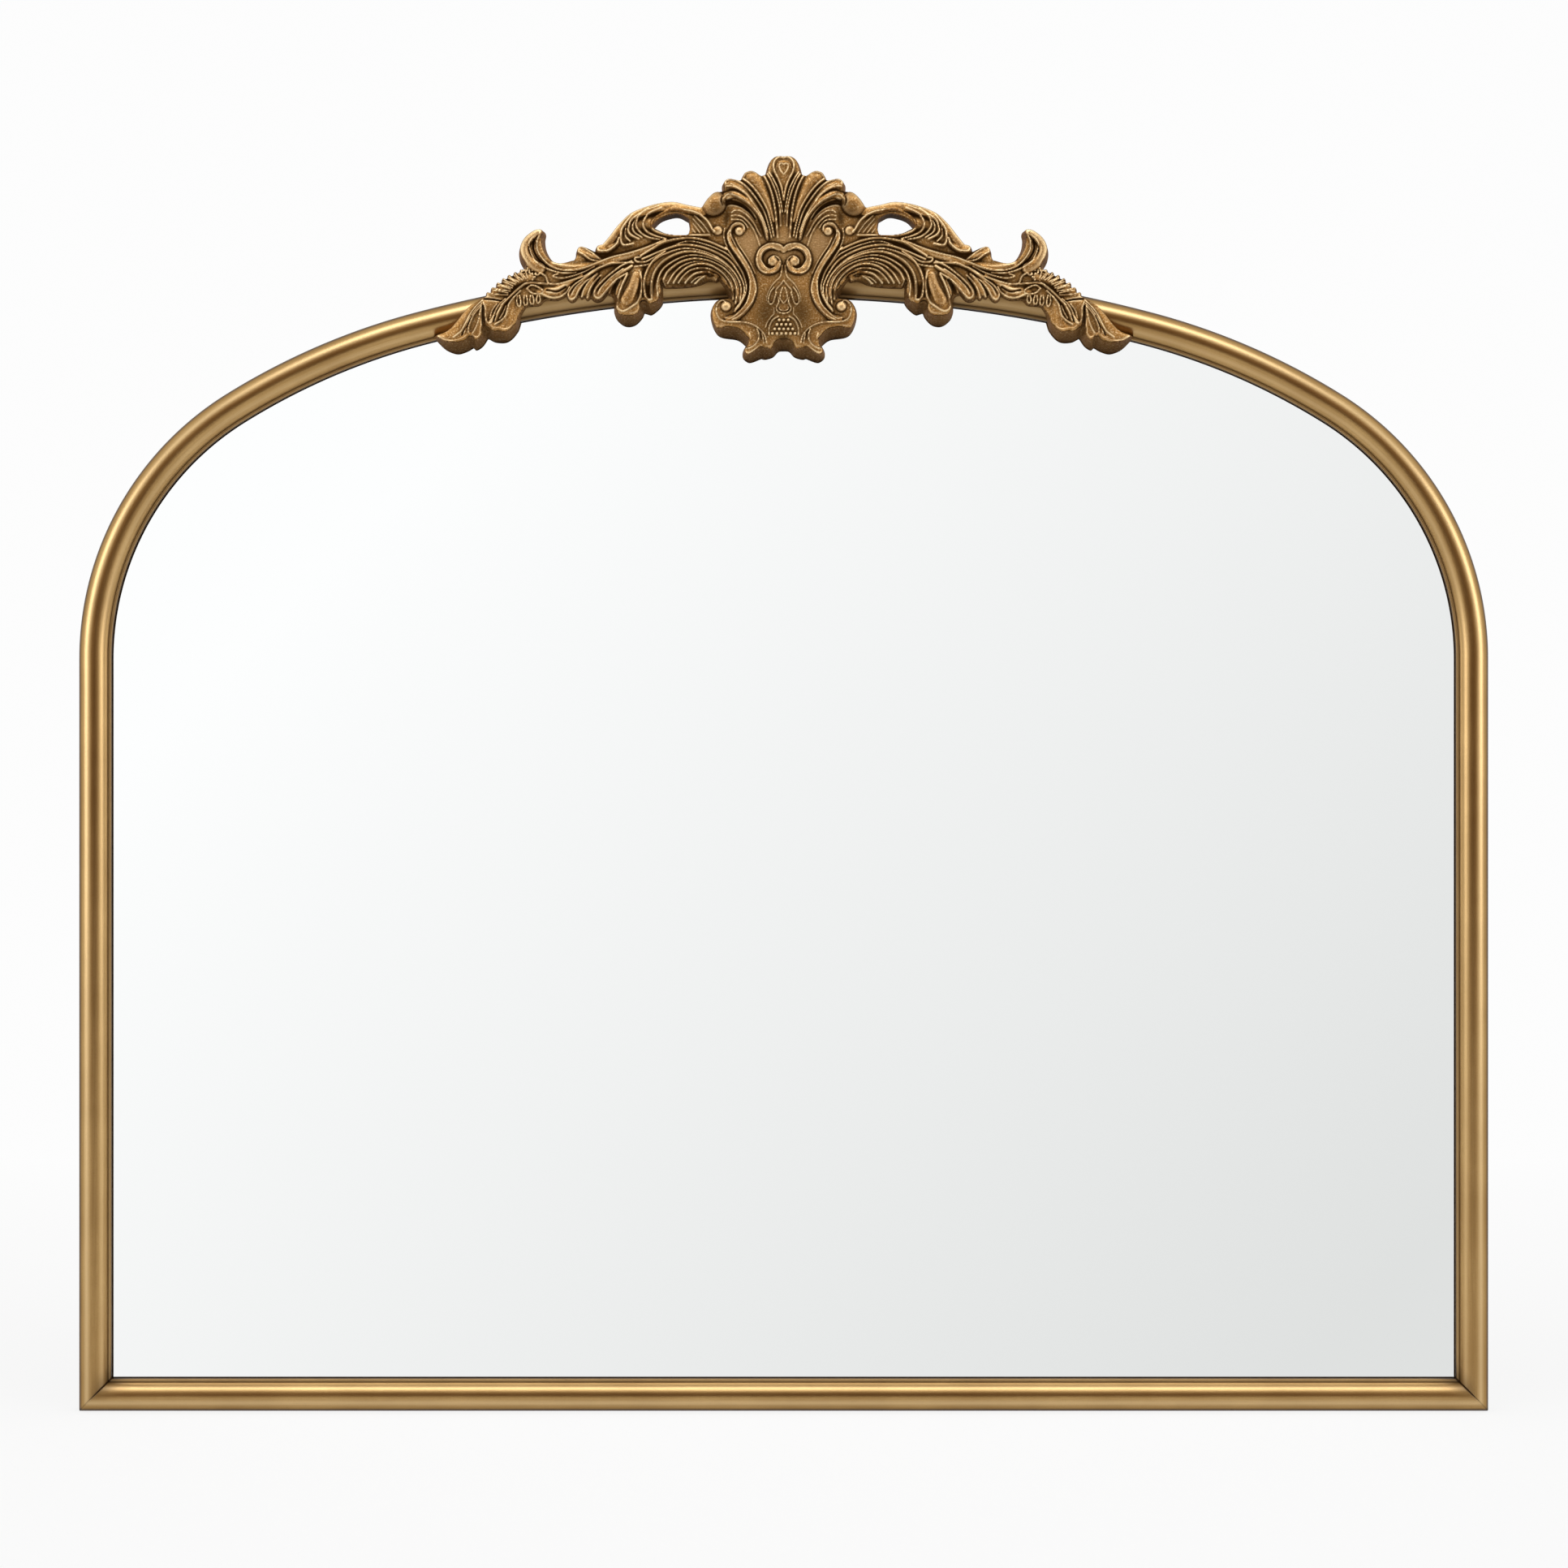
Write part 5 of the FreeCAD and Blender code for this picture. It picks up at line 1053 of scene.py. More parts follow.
    def grains(self) -> list[Bead]:
        """Scatter fine grains behind the frond: seeded places within an ellipse, denser at its middle.

        Returns:
            One bead per grain.
        """
        draw = np.random.default_rng(self.grain_seed)
        turn = draw.uniform(0, 2 * math.pi, self.grain_count)
        share = draw.uniform(0.05, 1, self.grain_count) ** 0.6
        x = self.grain_centre[0] + self.grain_spread[0] * share * np.cos(turn)
        z = self.grain_centre[1] + self.grain_spread[1] * share * np.sin(turn)
        return [Bead((float(at), float(up)), self.grain_radius, self.grain_rise) for at, up in zip(x, z)]

    def plan(self) -> tuple[np.ndarray, np.ndarray, np.ndarray, np.ndarray]:
        """Measure the drawn outline on a grid.

        Returns:
            Grid x, grid z, and the signed distances to the outline and to the window, positive on the wood's side.
        """
        rims = [np.concatenate([curve_points(stretch, self.outline_step) for stretch in loop])
                for loop in (self.outline, self.window)]
        low, high = rims[0].min(0), rims[0].max(0)
        x = np.arange(0, -low[0] + 3 * self.pitch, self.pitch)[::-1] * -1
        z = np.arange(low[1] - 2 * self.pitch, high[1] + 3 * self.pitch, self.pitch)
        gx, gz = np.meshgrid(x, z)
        depths = []
        for rim, sign in zip(rims, (1, -1)):
            far = np.full(gx.shape, self.search_reach)
            inside = np.zeros(gx.shape, bool)
            for (ax, az), (bx, bz) in zip(rim, np.roll(rim, -1, axis=0)):
                crossing = (az > gz) != (bz > gz)
                with np.errstate(divide="ignore", invalid="ignore"):
                    inside ^= crossing & (gx < ax + (gz - az) * (bx - ax) / (bz - az) + 1e-6)
                if ax == 0 == bx:
                    continue
                columns, rows = [
                    slice(*np.searchsorted(grid, (min(ends) - self.search_reach, max(ends) + self.search_reach)))
                    for grid, ends in ((x, (ax, bx)), (z, (az, bz)))]
                wx, wz = gx[rows, columns] - ax, gz[rows, columns] - az
                run = (bx - ax) ** 2 + (bz - az) ** 2 + 1e-12
                share = np.clip((wx * (bx - ax) + wz * (bz - az)) / run, 0, 1)
                gap = np.hypot(wx - share * (bx - ax), wz - share * (bz - az))
                far[rows, columns] = np.minimum(far[rows, columns], gap)
            depths.append(np.where(inside, far, -far) * sign)
        return gx, gz, *depths

    def strand_height(self, strand: Strand, gx: np.ndarray, gz: np.ndarray, height: np.ndarray) -> None:
        """Raise a height grid to a strand: its section by the distance to the nearest point of its line.

        Args:
            strand: the carved line.
            gx: grid x.
            gz: grid z.
            height: grid that is raised in place.
        """
        path = curve_points(strand.spots, self.strand_step)
        reach = max(strand.first, strand.last)
        columns = slice(*np.searchsorted(gx[0], (path[:, 0].min() - reach, path[:, 0].max() + reach)))
        rows = slice(*np.searchsorted(gz[:, 0], (path[:, 1].min() - reach, path[:, 1].max() + reach)))
        wx, wz = gx[rows, columns], gz[rows, columns]
        near = np.full(wx.shape, np.inf)
        part = np.zeros(wx.shape)
        for at, ((ax, az), (bx, bz)) in enumerate(zip(path[:-1], path[1:])):
            run = (bx - ax) ** 2 + (bz - az) ** 2 + 1e-12
            share = np.clip(((wx - ax) * (bx - ax) + (wz - az) * (bz - az)) / run, 0, 1)
            gap = np.hypot(wx - ax - share * (bx - ax), wz - az - share * (bz - az))
            nearer = gap < near
            near = np.where(nearer, gap, near)
            part = np.where(nearer, (at + share) / (len(path) - 1), part)
        width = strand.first + (strand.last - strand.first) * part
        swell = self.end_rise + self.middle_rise * np.sin(np.pi * part)
        rise = strand.rise * swell * strand.cut.height(np.clip(near / width, 0, 1))
        height[rows, columns] = np.maximum(height[rows, columns], rise)

    def drafts(self, gx: np.ndarray, gz: np.ndarray, lower: np.ndarray) -> np.ndarray:
        """Work out how wide the wall is in the front view: narrow above, wide below, steep where the rail is behind.

        Args:
            gx: grid x.
            gz: grid z.
            lower: how far the nearest edge lies below, from -1 (above) to 1.

        Returns:
            Width of the wall.
        """
        steep = np.zeros(gx.shape)
        for first, last in self.steep_spans:
            across = smooth_step(-self.span_blend, 0, gx - first) * smooth_step(self.span_blend, 0, gx - last)
            steep = np.maximum(steep, across * smooth_step(*self.steep_top, gz))
        turned = self.draft + self.draft_turn_share * (self.draft_below - self.draft)
        width = np.interp(lower, (-1, 0, self.draft_turn, 1), (self.draft_above, self.draft, turned, self.draft_below))
        return width + (self.steep_draft - width) * steep

    def relief(self, gx: np.ndarray, gz: np.ndarray, depth: np.ndarray, pierced: np.ndarray,
               lower: np.ndarray) -> np.ndarray:
        """Carve the relief: masses, then lines and beads on them, over a wall with draft round the outline.

        Args:
            gx: grid x.
            gz: grid z.
            depth: signed distance to the outline.
            pierced: signed distance to the window.
            lower: how far the nearest edge lies below, from -1 (above) to 1.

        Returns:
            Height over the ground at each grid point, down to the back at the outline.
        """
        broad = np.zeros(gx.shape)
        fine = np.zeros(gx.shape)
        for strand in self.masses:
            self.strand_height(strand, gx, gz, broad)
        ribs = [replace(line, first=self.rib_widen * line.first, last=self.rib_widen * line.last,
                        rise=self.rib_raise * line.rise, cut=Cut.RIB) for line in self.lines]
        for strand in [*ribs, *self.leaflets(self.frond_roots, self.frond_tips, self.frond_leaflets),
                       *self.leaflets(self.loop_roots, self.loop_tips, self.loop_leaflets)]:
            self.strand_height(strand, gx, gz, fine)
        for bead in [*self.beads, *self.berries(), *self.grains()]:
            share = np.clip(np.hypot(gx - bead.spot[0], gz - bead.spot[1]) / bead.radius, 0, 1)
            broad = np.maximum(broad, bead.rise * np.sqrt(1 - share ** 2))
        dome = self.swell * np.sqrt(1 - (1 - np.clip(depth / self.swell_reach, 0, 1)) ** 2)
        draft = self.drafts(gx, gz, lower)
        rim = self.rim_rise * np.exp(-((depth - draft - self.rim_inset) / self.rim_width) ** 2)
        fine = np.maximum(fine, rim * smooth_step(*self.rim_below, lower)
                          * smooth_step(self.span_blend, 0, gx - self.rim_end))
        sunk = np.zeros(gx.shape)
        for strand in self.grooves:
            self.strand_height(strand, gx, gz, sunk)
        face = dome + broad + fine * (1 - smooth_step(*self.buried, broad)) - sunk
        shoulder = np.clip(np.minimum(depth / draft, pierced / self.window_draft), 0, 1)
        wall = (self.ground - self.setback) * (1 - (1 - shoulder) ** self.wall_curve)
        rounded = smooth_step(*self.wall_rounding, shoulder)
        return wall - (self.ground - self.setback) + face * rounded

    def blurred(self, height: np.ndarray, reach: float) -> np.ndarray:
        """Average a grid and its mirror image with a Gaussian, through their Fourier transform.

        Args:
            height: the grid.
            reach: standard deviation in millimetres.

        Returns:
            The averaged grid.
        """
        whole = np.concatenate([height, height[:, -2::-1]], axis=1)
        up = np.fft.fftfreq(whole.shape[0], self.pitch)[:, None]
        across = np.fft.rfftfreq(whole.shape[1], self.pitch)[None, :]
        weight = np.exp(-2 * (np.pi * reach) ** 2 * (up ** 2 + across ** 2))
        return np.fft.irfft2(np.fft.rfft2(whole) * weight, whole.shape)[:, :height.shape[1]]

    def wear_wax_and_painted_light(self, gx: np.ndarray, gz: np.ndarray, depth: np.ndarray, height: np.ndarray,
                       lower: np.ndarray) -> tuple[np.ndarray, np.ndarray]:
        """Rub what stands over the blurred face, leave wax in what lies under it, and paint shade and highlight.

        Args:
            gx: grid x.
            gz: grid z.
            depth: signed distance to the nearest edge.
            height: carved height over the ground.
            lower: how far the nearest edge lies below, from -1 (above) to 1.

        Returns:
            Wear with painted highlight, and wax with painted shade, at each grid point, from 0 to 1.
        """
        face = np.maximum(height, self.face_floor)
        fine = face - self.blurred(face, self.fine_reach)
        broad = face - self.blurred(face, self.broad_reach)
        wall = smooth_step(*self.wall_height, height)
        below = np.clip(lower, 0, 1)
        width = self.drafts(gx, gz, lower)
        bulb = self.beads[0]
        bx, bz = gx - bulb.spot[0], gz - bulb.spot[1]
        turned = smooth_step(*self.bulb_edge, np.hypot(bx, bz) / bulb.radius)
        wear_and_highlight = np.clip(self.wear_gain * fine - self.wear_least, 0, 1) * smooth_step(*self.wear_start, depth / width)
        wear_and_highlight = wear_and_highlight * (1 - self.bulb_dull * turned)
        dirt_and_shade = np.clip(-self.wax_fine * fine - self.wax_broad * broad, 0, 1) * (1 - wall)
        # Painted shade: walls darker, more so below and toward their foot, and a band along the lower edges
        foot = below * np.clip(1 - depth / width, 0, 1)
        dirt_and_shade = np.maximum(dirt_and_shade, wall * (self.wall_shade + self.wall_shade_below * below + self.wall_shade_foot * foot))
        dirt_and_shade = np.maximum(dirt_and_shade, self.foot_shade * below * smooth_step(*self.foot_band, depth))
        # Painted shade from the listed shades, kept off where the surface is worn
        painted = np.zeros(gx.shape)
        for strand in self.shades:
            self.strand_height(strand, gx, gz, painted)
        dirt_and_shade = np.maximum(dirt_and_shade, np.clip(painted, 0, 1) * (1 - self.wear_over_shade * wear_and_highlight))
        # Painted shade on the bulb's lower side
        dirt_and_shade = np.maximum(dirt_and_shade, self.bulb_shade * turned * smooth_step(*self.bulb_fall, bz - 0.5 * bx))
        # Painted highlight on the ground in the middle of the crest
        middle = smooth_step(*self.middle_side, gx) * smooth_step(*self.middle_foot, gz)
        middle = middle * smooth_step(*self.middle_top, gz)
        return np.maximum(wear_and_highlight, self.middle_highlight * (1 - dirt_and_shade) * middle), dirt_and_shade

    def halves(self) -> list[bpy.types.Object]:
        """Mesh the relief: y is minus the ground and the carved height, over a grid snapped to the outline.

        Returns:
            The left and right halves, closed by a flat back.
        """
        gx, gz, rim_depth, pierced = self.plan()
        depth = np.minimum(rim_depth, pierced)
        kept = 0.25 * (depth[:-1, :-1] + depth[1:, :-1] + depth[:-1, 1:] + depth[1:, 1:]) > 0
        padded = np.pad(kept, 1)
        around = np.stack([padded[:-1, :-1], padded[1:, :-1], padded[:-1, 1:], padded[1:, 1:]])
        used, edge = around.any(0), around.any(0) & ~around.all(0)
        rim = edge & (gx < -0.5 * self.pitch)
        ringed = np.pad(rim, 1)
        beside = used & ~edge & (ringed[:-2, 1:-1] | ringed[2:, 1:-1] | ringed[1:-1, :-2] | ringed[1:-1, 2:])
        slope_z, slope_x = np.gradient(depth, self.pitch)
        steep = np.maximum(np.hypot(slope_x, slope_z), self.least_slope)
        far, near = self.snap_rim * self.pitch, self.snap_beside * self.pitch
        move = np.clip(depth, -far, far) * rim
        move += np.clip(depth - far, -near, near) * beside
        px, pz = gx - move * slope_x / steep ** 2, gz - move * slope_z / steep ** 2
        depth = depth - move
        lower = np.clip(np.gradient(self.blurred(depth, 1.0), self.pitch)[0], -1, 1)
        height = self.relief(gx, gz, rim_depth - move, pierced - move, lower)
        height = np.where(rim, self.setback - self.ground, height)
        wear_and_highlight, dirt_and_shade = self.wear_wax_and_painted_light(gx, gz, depth, height, lower)
        number = np.cumsum(used).reshape(used.shape) - 1
        front = np.stack([px[used], -self.ground - height[used], pz[used] + self.crown_top], axis=1)
        quads = np.stack([number[:-1, :-1][kept], number[:-1, 1:][kept],
                          number[1:, 1:][kept], number[1:, :-1][kept]], axis=1)
        blocks, extra = self.back_cap(front, quads)
        points = np.concatenate([front, extra])
        pieces = []
        for side, sign in (("left", 1.0), ("right", -1.0)):
            turn = slice(None) if sign > 0 else slice(None, None, -1)
            faces = [block[:, turn] for block in (quads, *blocks)]
            piece = make_piece("crest_carving_" + side, points * (sign, 1, 1), faces)
            # Points behind the face get no wear, and painted shade
            set_field(piece, "wear_and_highlight", np.concatenate([wear_and_highlight[used], np.zeros(len(extra))]))
            set_field(piece, "dirt_and_shade", np.concatenate([dirt_and_shade[used], np.full(len(extra), self.back_shade)]))
            piece.data.set_sharp_from_angle(angle=math.radians(self.sharp_angle))
            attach(piece, BODY)
            pieces.append(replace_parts(piece, "crest"))
        finish = self.finish.material()
        for piece in pieces:
            dress(piece, finish)
        return pieces

    def back_cap(self, front: np.ndarray, quads: np.ndarray) -> tuple[list[np.ndarray], np.ndarray]:
        """Close the back with flat triangles between the rim's points, and the middle with a wall down to them.

        A triangle is kept where a line from its centre towards +X crosses the rim an odd number of times, unless one
        of its sides runs along the rim the other way, which puts it outside.

        Args:
            front: points of the carved face.
            quads: its faces.

        Returns:
            Blocks of faces as point numbers, and the points that they add behind the face.
        """
        ways = np.concatenate([quads[:, [0, 1]], quads[:, [1, 2]], quads[:, [2, 3]], quads[:, [3, 0]]])
        _, index, counts = np.unique(np.sort(ways, axis=1), axis=0, return_index=True, return_counts=True)
        open_sides = ways[index[counts == 1]]
        ring = np.unique(open_sides)
        place = np.full(len(front), -1)
        place[ring] = np.arange(len(ring))
        flat = [(float(x), float(z)) for x, z in front[ring][:, [0, 2]]]
        made = delaunay_2d_cdt(flat, [tuple(pair) for pair in place[open_sides].tolist()], [], 0, 1e-6)
        spots = np.array([tuple(spot) for spot in made[0]])
        source = np.array([origins[0] for origins in made[3]])
        corners = np.array([face for face in made[2] if len(face) == 3])
        centre = spots[corners].mean(1)[:, :, None]
        start, end = front[open_sides[:, 0]][:, [0, 2]].T, front[open_sides[:, 1]][:, [0, 2]].T
        lean = (end[0] - start[0]) / np.where(end[1] == start[1], 1.0, end[1] - start[1])
        beside = (start[1] > centre[:, 1]) != (end[1] > centre[:, 1])
        crossed = beside & (start[0] + (centre[:, 1] - start[1]) * lean > centre[:, 0])
        turned = ring[source[corners[:, [1, 2, 0]]]] * len(front) + ring[source[corners]]
        outer = np.isin(turned, open_sides[:, 0] * len(front) + open_sides[:, 1]).any(1)
        corners = corners[(crossed.sum(1) % 2 == 1) & ~outer]
        raised = np.abs(front[ring, 1] + self.setback) > 1e-6
        behind = np.where(raised, len(front) + np.cumsum(raised) - 1, ring)
        first, last = open_sides[:, 0], open_sides[:, 1]
        under_first, under_last = behind[place[first]], behind[place[last]]
        both = raised[place[first]] & raised[place[last]]
        only_first = raised[place[first]] & ~raised[place[last]]
        only_last = ~raised[place[first]] & raised[place[last]]
        blocks = [behind[source[corners]][:, ::-1],
                  np.stack([last, first, under_first, under_last], axis=1)[both],
                  np.stack([last, first, under_first], axis=1)[only_first],
                  np.stack([last, first, under_last], axis=1)[only_last]]
        return blocks, front[ring[raised]] * (1, 0, 1) - (0, self.setback, 0)


@dataclass
class Backing:
    """What lies behind the glass: tape, panel, screws, hangers and bumpers."""

    finishes: dict[str, Plain] = field(default_factory=lambda: {
        "back_panel": Plain("fibreboard", "#8a6a48", "#6f5236", 0.0, 0.75, 1.6, 0.05),
        "glass_tape": Plain("foam_tape", "#e4e2dc", "#cfcdc6", 0.0, 0.8, 0.8, 0.03),
        "mitre_nails": Plain("bright_steel", "#b9babb", "#8d8f91", 1.0, 0.35, 0.8, 0.01),
        "panel_screws": Plain("zinc_plate", "#c9c6b8", "#a9a797", 1.0, 0.3, 0.8, 0.01),
        "bumper": Plain("black_rubber", "#2a2a2b", "#1d1d1e", 0.0, 0.65, 0.6, 0.03),
        "hanger_strap": Plain("nickel_plate", "#c7c3ba", "#a8a49b", 1.0, 0.28, 0.7, 0.01),
    })
    same: dict[str, str] = field(default_factory=lambda: {
        "crest_screws": "panel_screws", "hanger_screws": "panel_screws", "d_ring": "hanger_strap"})

    def dress_nodes(self, nodes: dict[str, bpy.types.Object]) -> None:
        """Give each CAD node that stays in view its finish.

        Args:
            nodes: the frame's CAD nodes by name.
        """
        made = {name: finish.material() for name, finish in self.finishes.items()}
        made |= {name: made[like] for name, like in self.same.items()}
        for node, piece in nodes.items():
            for start, material in made.items():
                if node.startswith(start):
                    dress(piece, material)
                    log.info("%s is %s", node, material.name)


@dataclass(frozen=True)
class SoftBox:
    """One lamp: its place and size in metres, and its power in watts."""

    name: str
    place: tuple[float, float, float]
    wide: float
    high: float
    power: float


@dataclass
class Studio:
    """Floor, white surroundings, soft lamps, the card that the mirror shows, and the camera."""

    # Camera, in millimetres
    middle: float = 406.6
    distance: float = 2402.0
    focal: float = 85.0
    sensor: float = 36.0
    front: float = 4.6
    aside: float = 0.2
    # Light of the surroundings, as seen and as light
    white: float = 0.98
    soft_light: float = 0.55
    # Floor: sizes in millimetres, its run to white in metres
    floor_half: float = 3000.0
    floor_front: float = -2200.0
    floor_back: float = 3800.0
    floor_drop: float = 0.2
    floor_colour: str = "#f2f2f1"
    floor_run: tuple[float, float] = (0.1, 1.6)
    floor_levels: tuple[float, float] = (0.86, 1.0)
    floor_in_gold: float = 0.55
    # Card: a glowing sheet that paints the mirror's reflection; sizes in millimetres, its tones and fades in metres
    card_gap: float = 200.0
    card_wide: float = 1550.0
    card_high: float = 1500.0
    tone_light: str = "#fefefe"
    tone_dark: str = "#e0e1e0"
    tone_start: tuple[float, float, float] = (-0.46, 0.0, 0.86)
    tone_turn: float = 45.0
    tone_length: float = 1.7
    fade_across: tuple[float, float] = (1.0, 1.52)
    fade_up: tuple[float, float] = (0.92, 1.47)
    # Painted reflection of a dark room, which the gold sees in the card
    room_light: str = "#a07c50"
    room_dark: str = "#4a3010"
    room_reach: float = 1.7
    # Lamps, in metres
    aim: tuple[float, float, float] = (0.0, 0.0, 0.5)
    soft_boxes: tuple[SoftBox, ...] = (
        SoftBox("left", (-2.4, -1.3, 1.0), 1.1, 1.5, 11.0),
        SoftBox("right", (2.4, -1.3, 1.0), 1.1, 1.5, 11.0),
        SoftBox("top", (0.0, -1.45, 2.8), 3.0, 1.1, 28.0))

    def camera(self) -> None:
        """Stand the camera straight in front, level with the middle of the photograph."""
        data = bpy.data.cameras.new("camera")
        data.lens = self.focal
        data.sensor_width = self.sensor
        camera = bpy.data.objects.new("camera", data)
        camera.location = (self.aside * MM, -(self.front + self.distance) * MM, self.middle * MM)
        camera.rotation_euler = (math.radians(90), 0, 0)
        bpy.context.scene.collection.objects.link(camera)
        bpy.context.scene.camera = camera

    def world(self) -> None:
        """Make surroundings that are white to look at and soft as light."""
        world = bpy.data.worlds.new("studio")
        bpy.context.scene.world = world
        world.use_nodes = True
        tree = world.node_tree
        tree.nodes.clear()
        ray = add_node(tree, "ShaderNodeLightPath", {}, {})
        seen = add_node(tree, "ShaderNodeMath", {"operation": "ADD"}, {
            0: ray.outputs["Is Camera Ray"], 1: ray.outputs["Is Glossy Ray"]})
        seen = add_node(tree, "ShaderNodeMath", {"operation": "ADD", "use_clamp": True}, {
            0: seen.outputs[0], 1: ray.outputs["Is Transmission Ray"]})
        strength = add_node(tree, "ShaderNodeMapRange", {}, {
            "Value": seen.outputs[0], 3: self.soft_light, 4: self.white})
        sky = add_node(tree, "ShaderNodeBackground", {}, {
            "Color": (1.0, 1.0, 1.0, 1.0), "Strength": strength.outputs["Result"]})
        add_node(tree, "ShaderNodeOutputWorld", {}, {"Surface": sky.outputs["Background"]})

    def floor(self) -> None:
        """Lay a pale floor that is white to the camera away from shadows."""
        half, near, back, level = self.floor_half, self.floor_front, self.floor_back, -self.floor_drop
        points = np.array([(-half, near, level), (half, near, level), (half, back, level), (-half, back, level)])
        floor = make_piece("floor", points, [np.array([[0, 1, 2, 3]])])
        material, tree = new_material("white_floor")
        ray = add_node(tree, "ShaderNodeLightPath", {}, {})
        paint = add_node(tree, "ShaderNodeBsdfDiffuse", {}, {"Color": linear(self.floor_colour)})
        clear = add_node(tree, "ShaderNodeBsdfTransparent", {}, {})
        glow = add_node(tree, "ShaderNodeEmission", {}, {"Color": linear("#ffffff"), "Strength": self.white})
        place = add_node(tree, "ShaderNodeSeparateXYZ", {}, {
            "Vector": add_node(tree, "ShaderNodeTexCoord", {}, {}).outputs["Object"]})
        far = add_node(tree, "ShaderNodeMapRange", {}, {
            "Value": place.outputs["Y"], 1: self.floor_run[0], 2: self.floor_run[1],
            3: self.floor_levels[0], 4: self.floor_levels[1]})
        seen = add_node(tree, "ShaderNodeMath", {"operation": "ADD"}, {
            0: ray.outputs["Is Camera Ray"], 1: ray.outputs["Is Glossy Ray"]})
        glare = add_node(tree, "ShaderNodeMapRange", {}, {
            "Value": ray.outputs["Is Glossy Ray"], 3: far.outputs["Result"], 4: self.floor_in_gold})
        share = add_node(tree, "ShaderNodeMath", {"operation": "MULTIPLY"}, {
            0: seen.outputs[0], 1: glare.outputs["Result"]})
        mixed = add_node(tree, "ShaderNodeMixShader", {}, {
            0: share.outputs[0], 1: paint.outputs["BSDF"], 2: glow.outputs["Emission"]})
        mixed = add_node(tree, "ShaderNodeMixShader", {}, {
            0: ray.outputs["Is Singular Ray"], 1: mixed.outputs["Shader"], 2: clear.outputs["BSDF"]})
        add_node(tree, "ShaderNodeOutputMaterial", {}, {"Surface": mixed.outputs["Shader"]})
        dress(floor, material)

    def card(self) -> None:
        """Hang a card behind the camera: pale and shaded across for the sharp mirror, dark for the gold."""
        away = -(self.front + self.distance + self.card_gap)
        wide, low, top = self.card_wide, self.middle - self.card_high, self.middle + self.card_high
        points = np.array([(-wide, away, low), (wide, away, low), (wide, away, top), (-wide, away, top)])
        card = make_piece("reflection_card", points, [np.array([[3, 2, 1, 0]])])
        material, tree = new_material("reflection_card")
        ray = add_node(tree, "ShaderNodeLightPath", {}, {})
        place = add_node(tree, "ShaderNodeTexCoord", {}, {})
        run = add_node(tree, "ShaderNodeMapping", {"vector_type": "TEXTURE"}, {
            "Vector": place.outputs["Object"], "Location": self.tone_start,
            "Rotation": (0, math.radians(self.tone_turn), 0), "Scale": (self.tone_length, 1, self.tone_length)})
        fade = add_node(tree, "ShaderNodeTexGradient", {}, {"Vector": run.outputs["Vector"]})
        tone = add_node(tree, "ShaderNodeMix", {"data_type": "RGBA"}, {
            0: fade.outputs["Fac"], 6: linear(self.tone_light), 7: linear(self.tone_dark)})
        spot = add_node(tree, "ShaderNodeSeparateXYZ", {}, {"Vector": place.outputs["Object"]})
        edges = []
        for axis, centre, (start, end) in (("X", 0.0, self.fade_across), ("Z", self.middle * MM, self.fade_up)):
            off = add_node(tree, "ShaderNodeMath", {"operation": "SUBTRACT"}, {0: spot.outputs[axis], 1: centre})
            size = add_node(tree, "ShaderNodeMath", {"operation": "ABSOLUTE"}, {0: off.outputs[0]})
            edges.append(add_node(tree, "ShaderNodeMapRange", {"interpolation_type": "SMOOTHSTEP"}, {
                "Value": size.outputs[0], 1: start, 2: end}).outputs["Result"])
        edge = add_node(tree, "ShaderNodeMath", {"operation": "MAXIMUM"}, {0: edges[0], 1: edges[1]})
        tone = add_node(tree, "ShaderNodeMix", {"data_type": "RGBA"}, {
            0: edge.outputs[0], 6: tone.outputs[2], 7: (self.white, self.white, self.white, 1.0)})
        round_run = add_node(tree, "ShaderNodeMapping", {"vector_type": "TEXTURE"}, {
            "Vector": place.outputs["Object"], "Location": (0, away * MM, self.middle * MM),
            "Scale": (self.room_reach, self.room_reach, self.room_reach)})
        dim = add_node(tree, "ShaderNodeTexGradient", {"gradient_type": "SPHERICAL"}, {
            "Vector": round_run.outputs["Vector"]})
        room = add_node(tree, "ShaderNodeMix", {"data_type": "RGBA"}, {
            0: dim.outputs["Fac"], 6: linear(self.room_light), 7: linear(self.room_dark)})
        glow = add_node(tree, "ShaderNodeMix", {"data_type": "RGBA"}, {
            0: ray.outputs["Is Singular Ray"], 6: room.outputs[2], 7: tone.outputs[2]})
        light = add_node(tree, "ShaderNodeEmission", {}, {"Color": glow.outputs[2], "Strength": 1.0})
        add_node(tree, "ShaderNodeOutputMaterial", {}, {"Surface": light.outputs["Emission"]})
        dress(card, material)
        card.visible_camera = False
        card.visible_diffuse = False
        card.visible_shadow = False

    def lamps(self) -> None:
        """Set three soft boxes before the frame: at the left, at the right and over the top."""
        for box in self.soft_boxes:
            data = bpy.data.lights.new("lamp_" + box.name, "AREA")
            data.shape = "RECTANGLE"
            data.size, data.size_y = box.wide, box.high
            data.energy = box.power
            lamp = bpy.data.objects.new(data.name, data)
            lamp.location = box.place
            way = np.array(self.aim) - np.array(box.place)
            tilt = math.acos(-way[2] / np.linalg.norm(way))
            lamp.rotation_euler = (tilt, 0, math.atan2(way[1], way[0]) - math.pi / 2)
            bpy.context.scene.collection.objects.link(lamp)

    def build(self) -> None:
        """Set up the whole studio."""
        self.world()
        self.floor()
        self.card()
        self.lamps()
        self.camera()
        bpy.context.scene.view_settings.view_transform = "Standard"


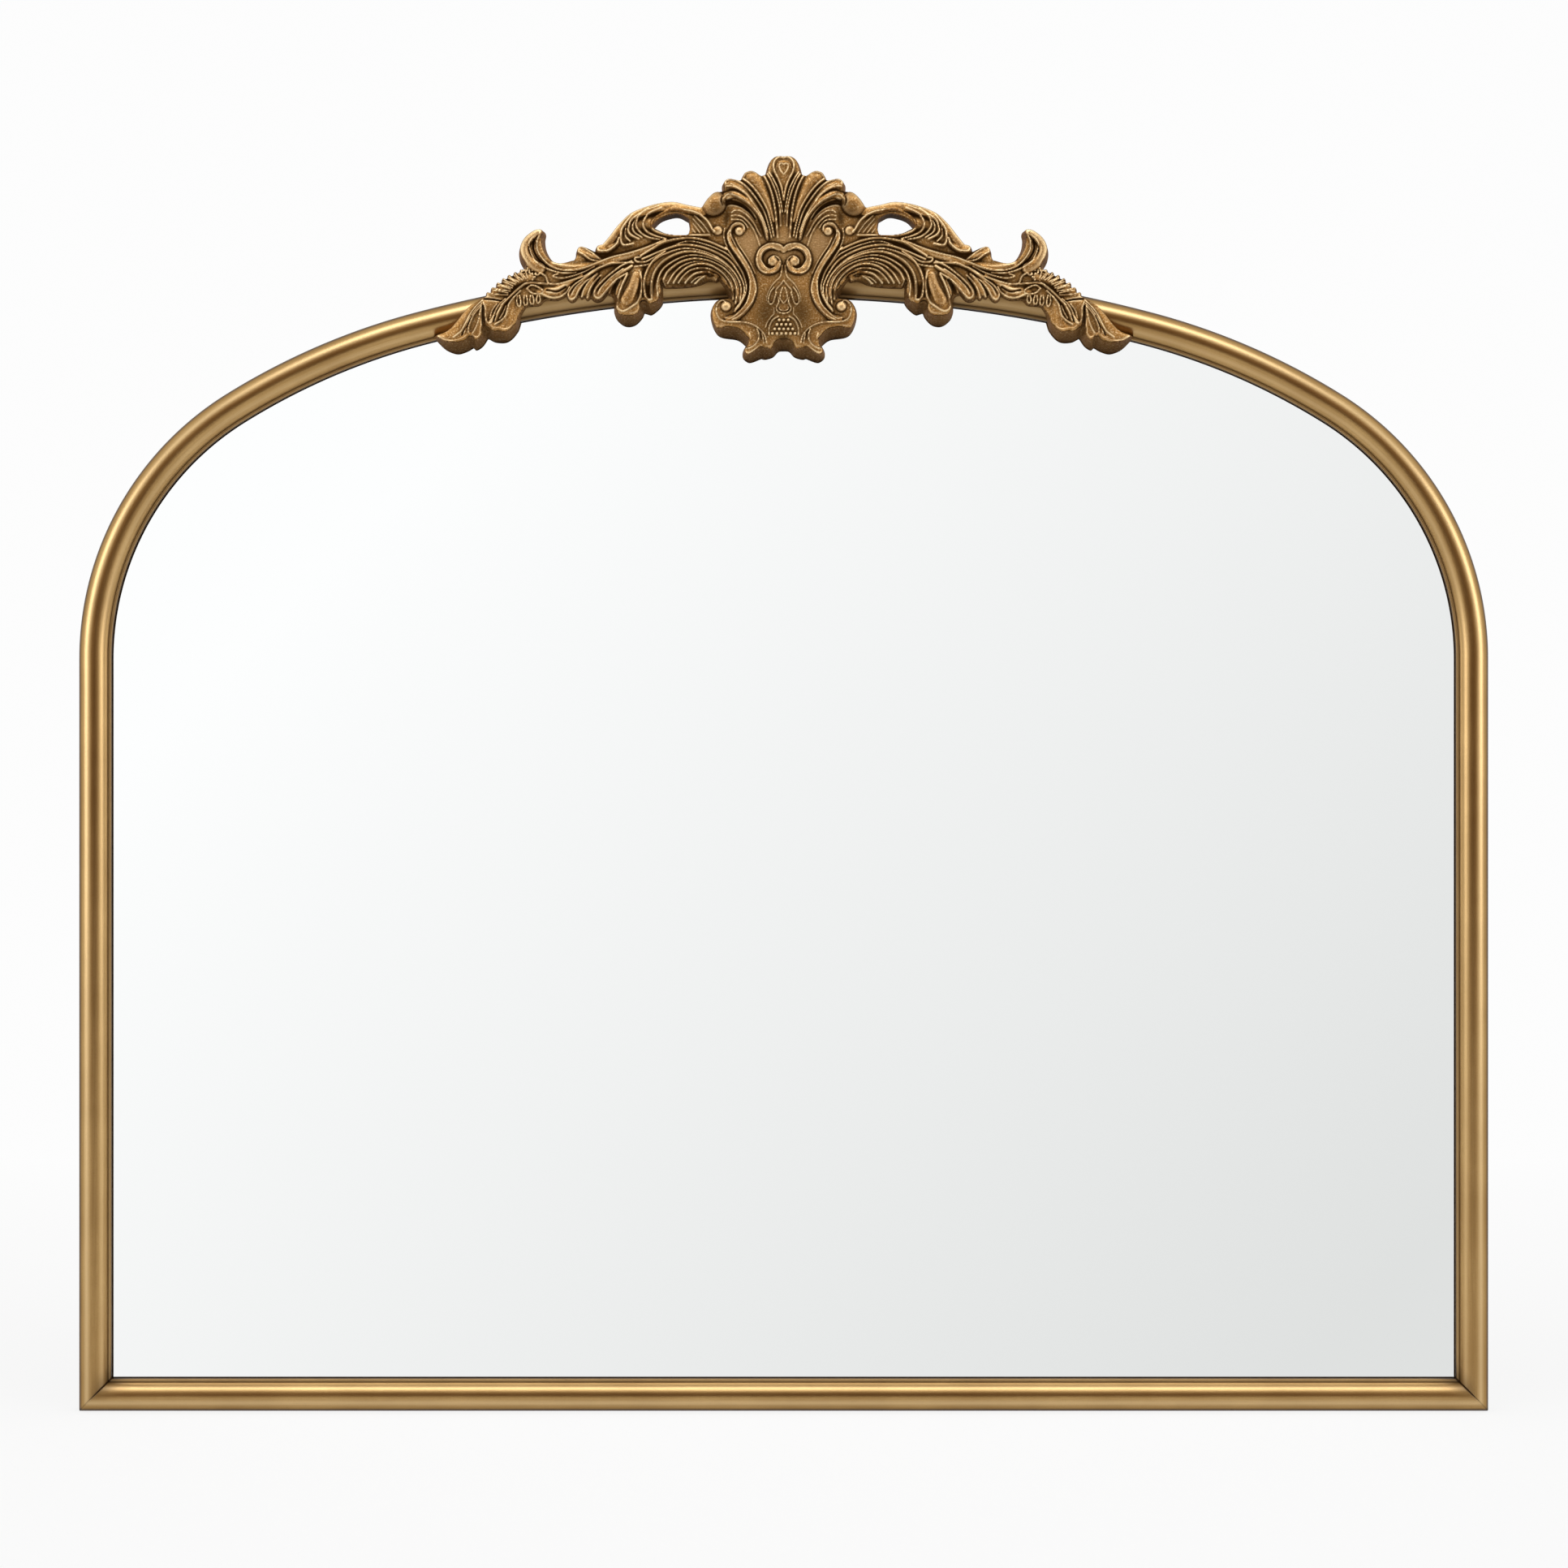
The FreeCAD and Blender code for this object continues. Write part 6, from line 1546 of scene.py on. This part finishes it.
def main() -> None:
    """Build the pieces in order."""
    logging.basicConfig(level=logging.INFO, format="%(message)s")
    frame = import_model()
    _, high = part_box("arch_rail")
    moulding = Moulding(half_width=high[0] / MM)
    glass = MirrorGlass(moulding, inset=(high[0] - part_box("mirror_glass")[1][0]) / MM)
    for piece in (moulding.arch_rail(), moulding.bottom_rail(), glass.silver()):
        log.info("%s has %d faces", piece.name, len(piece.data.polygons))
    for piece in Crest(crown_top=high[2] / MM).halves():
        log.info("%s has %d faces", piece.name, len(piece.data.polygons))
    Backing().dress_nodes(frame["nodes"])
    Studio().build()


if __name__ == "__main__":
    main()
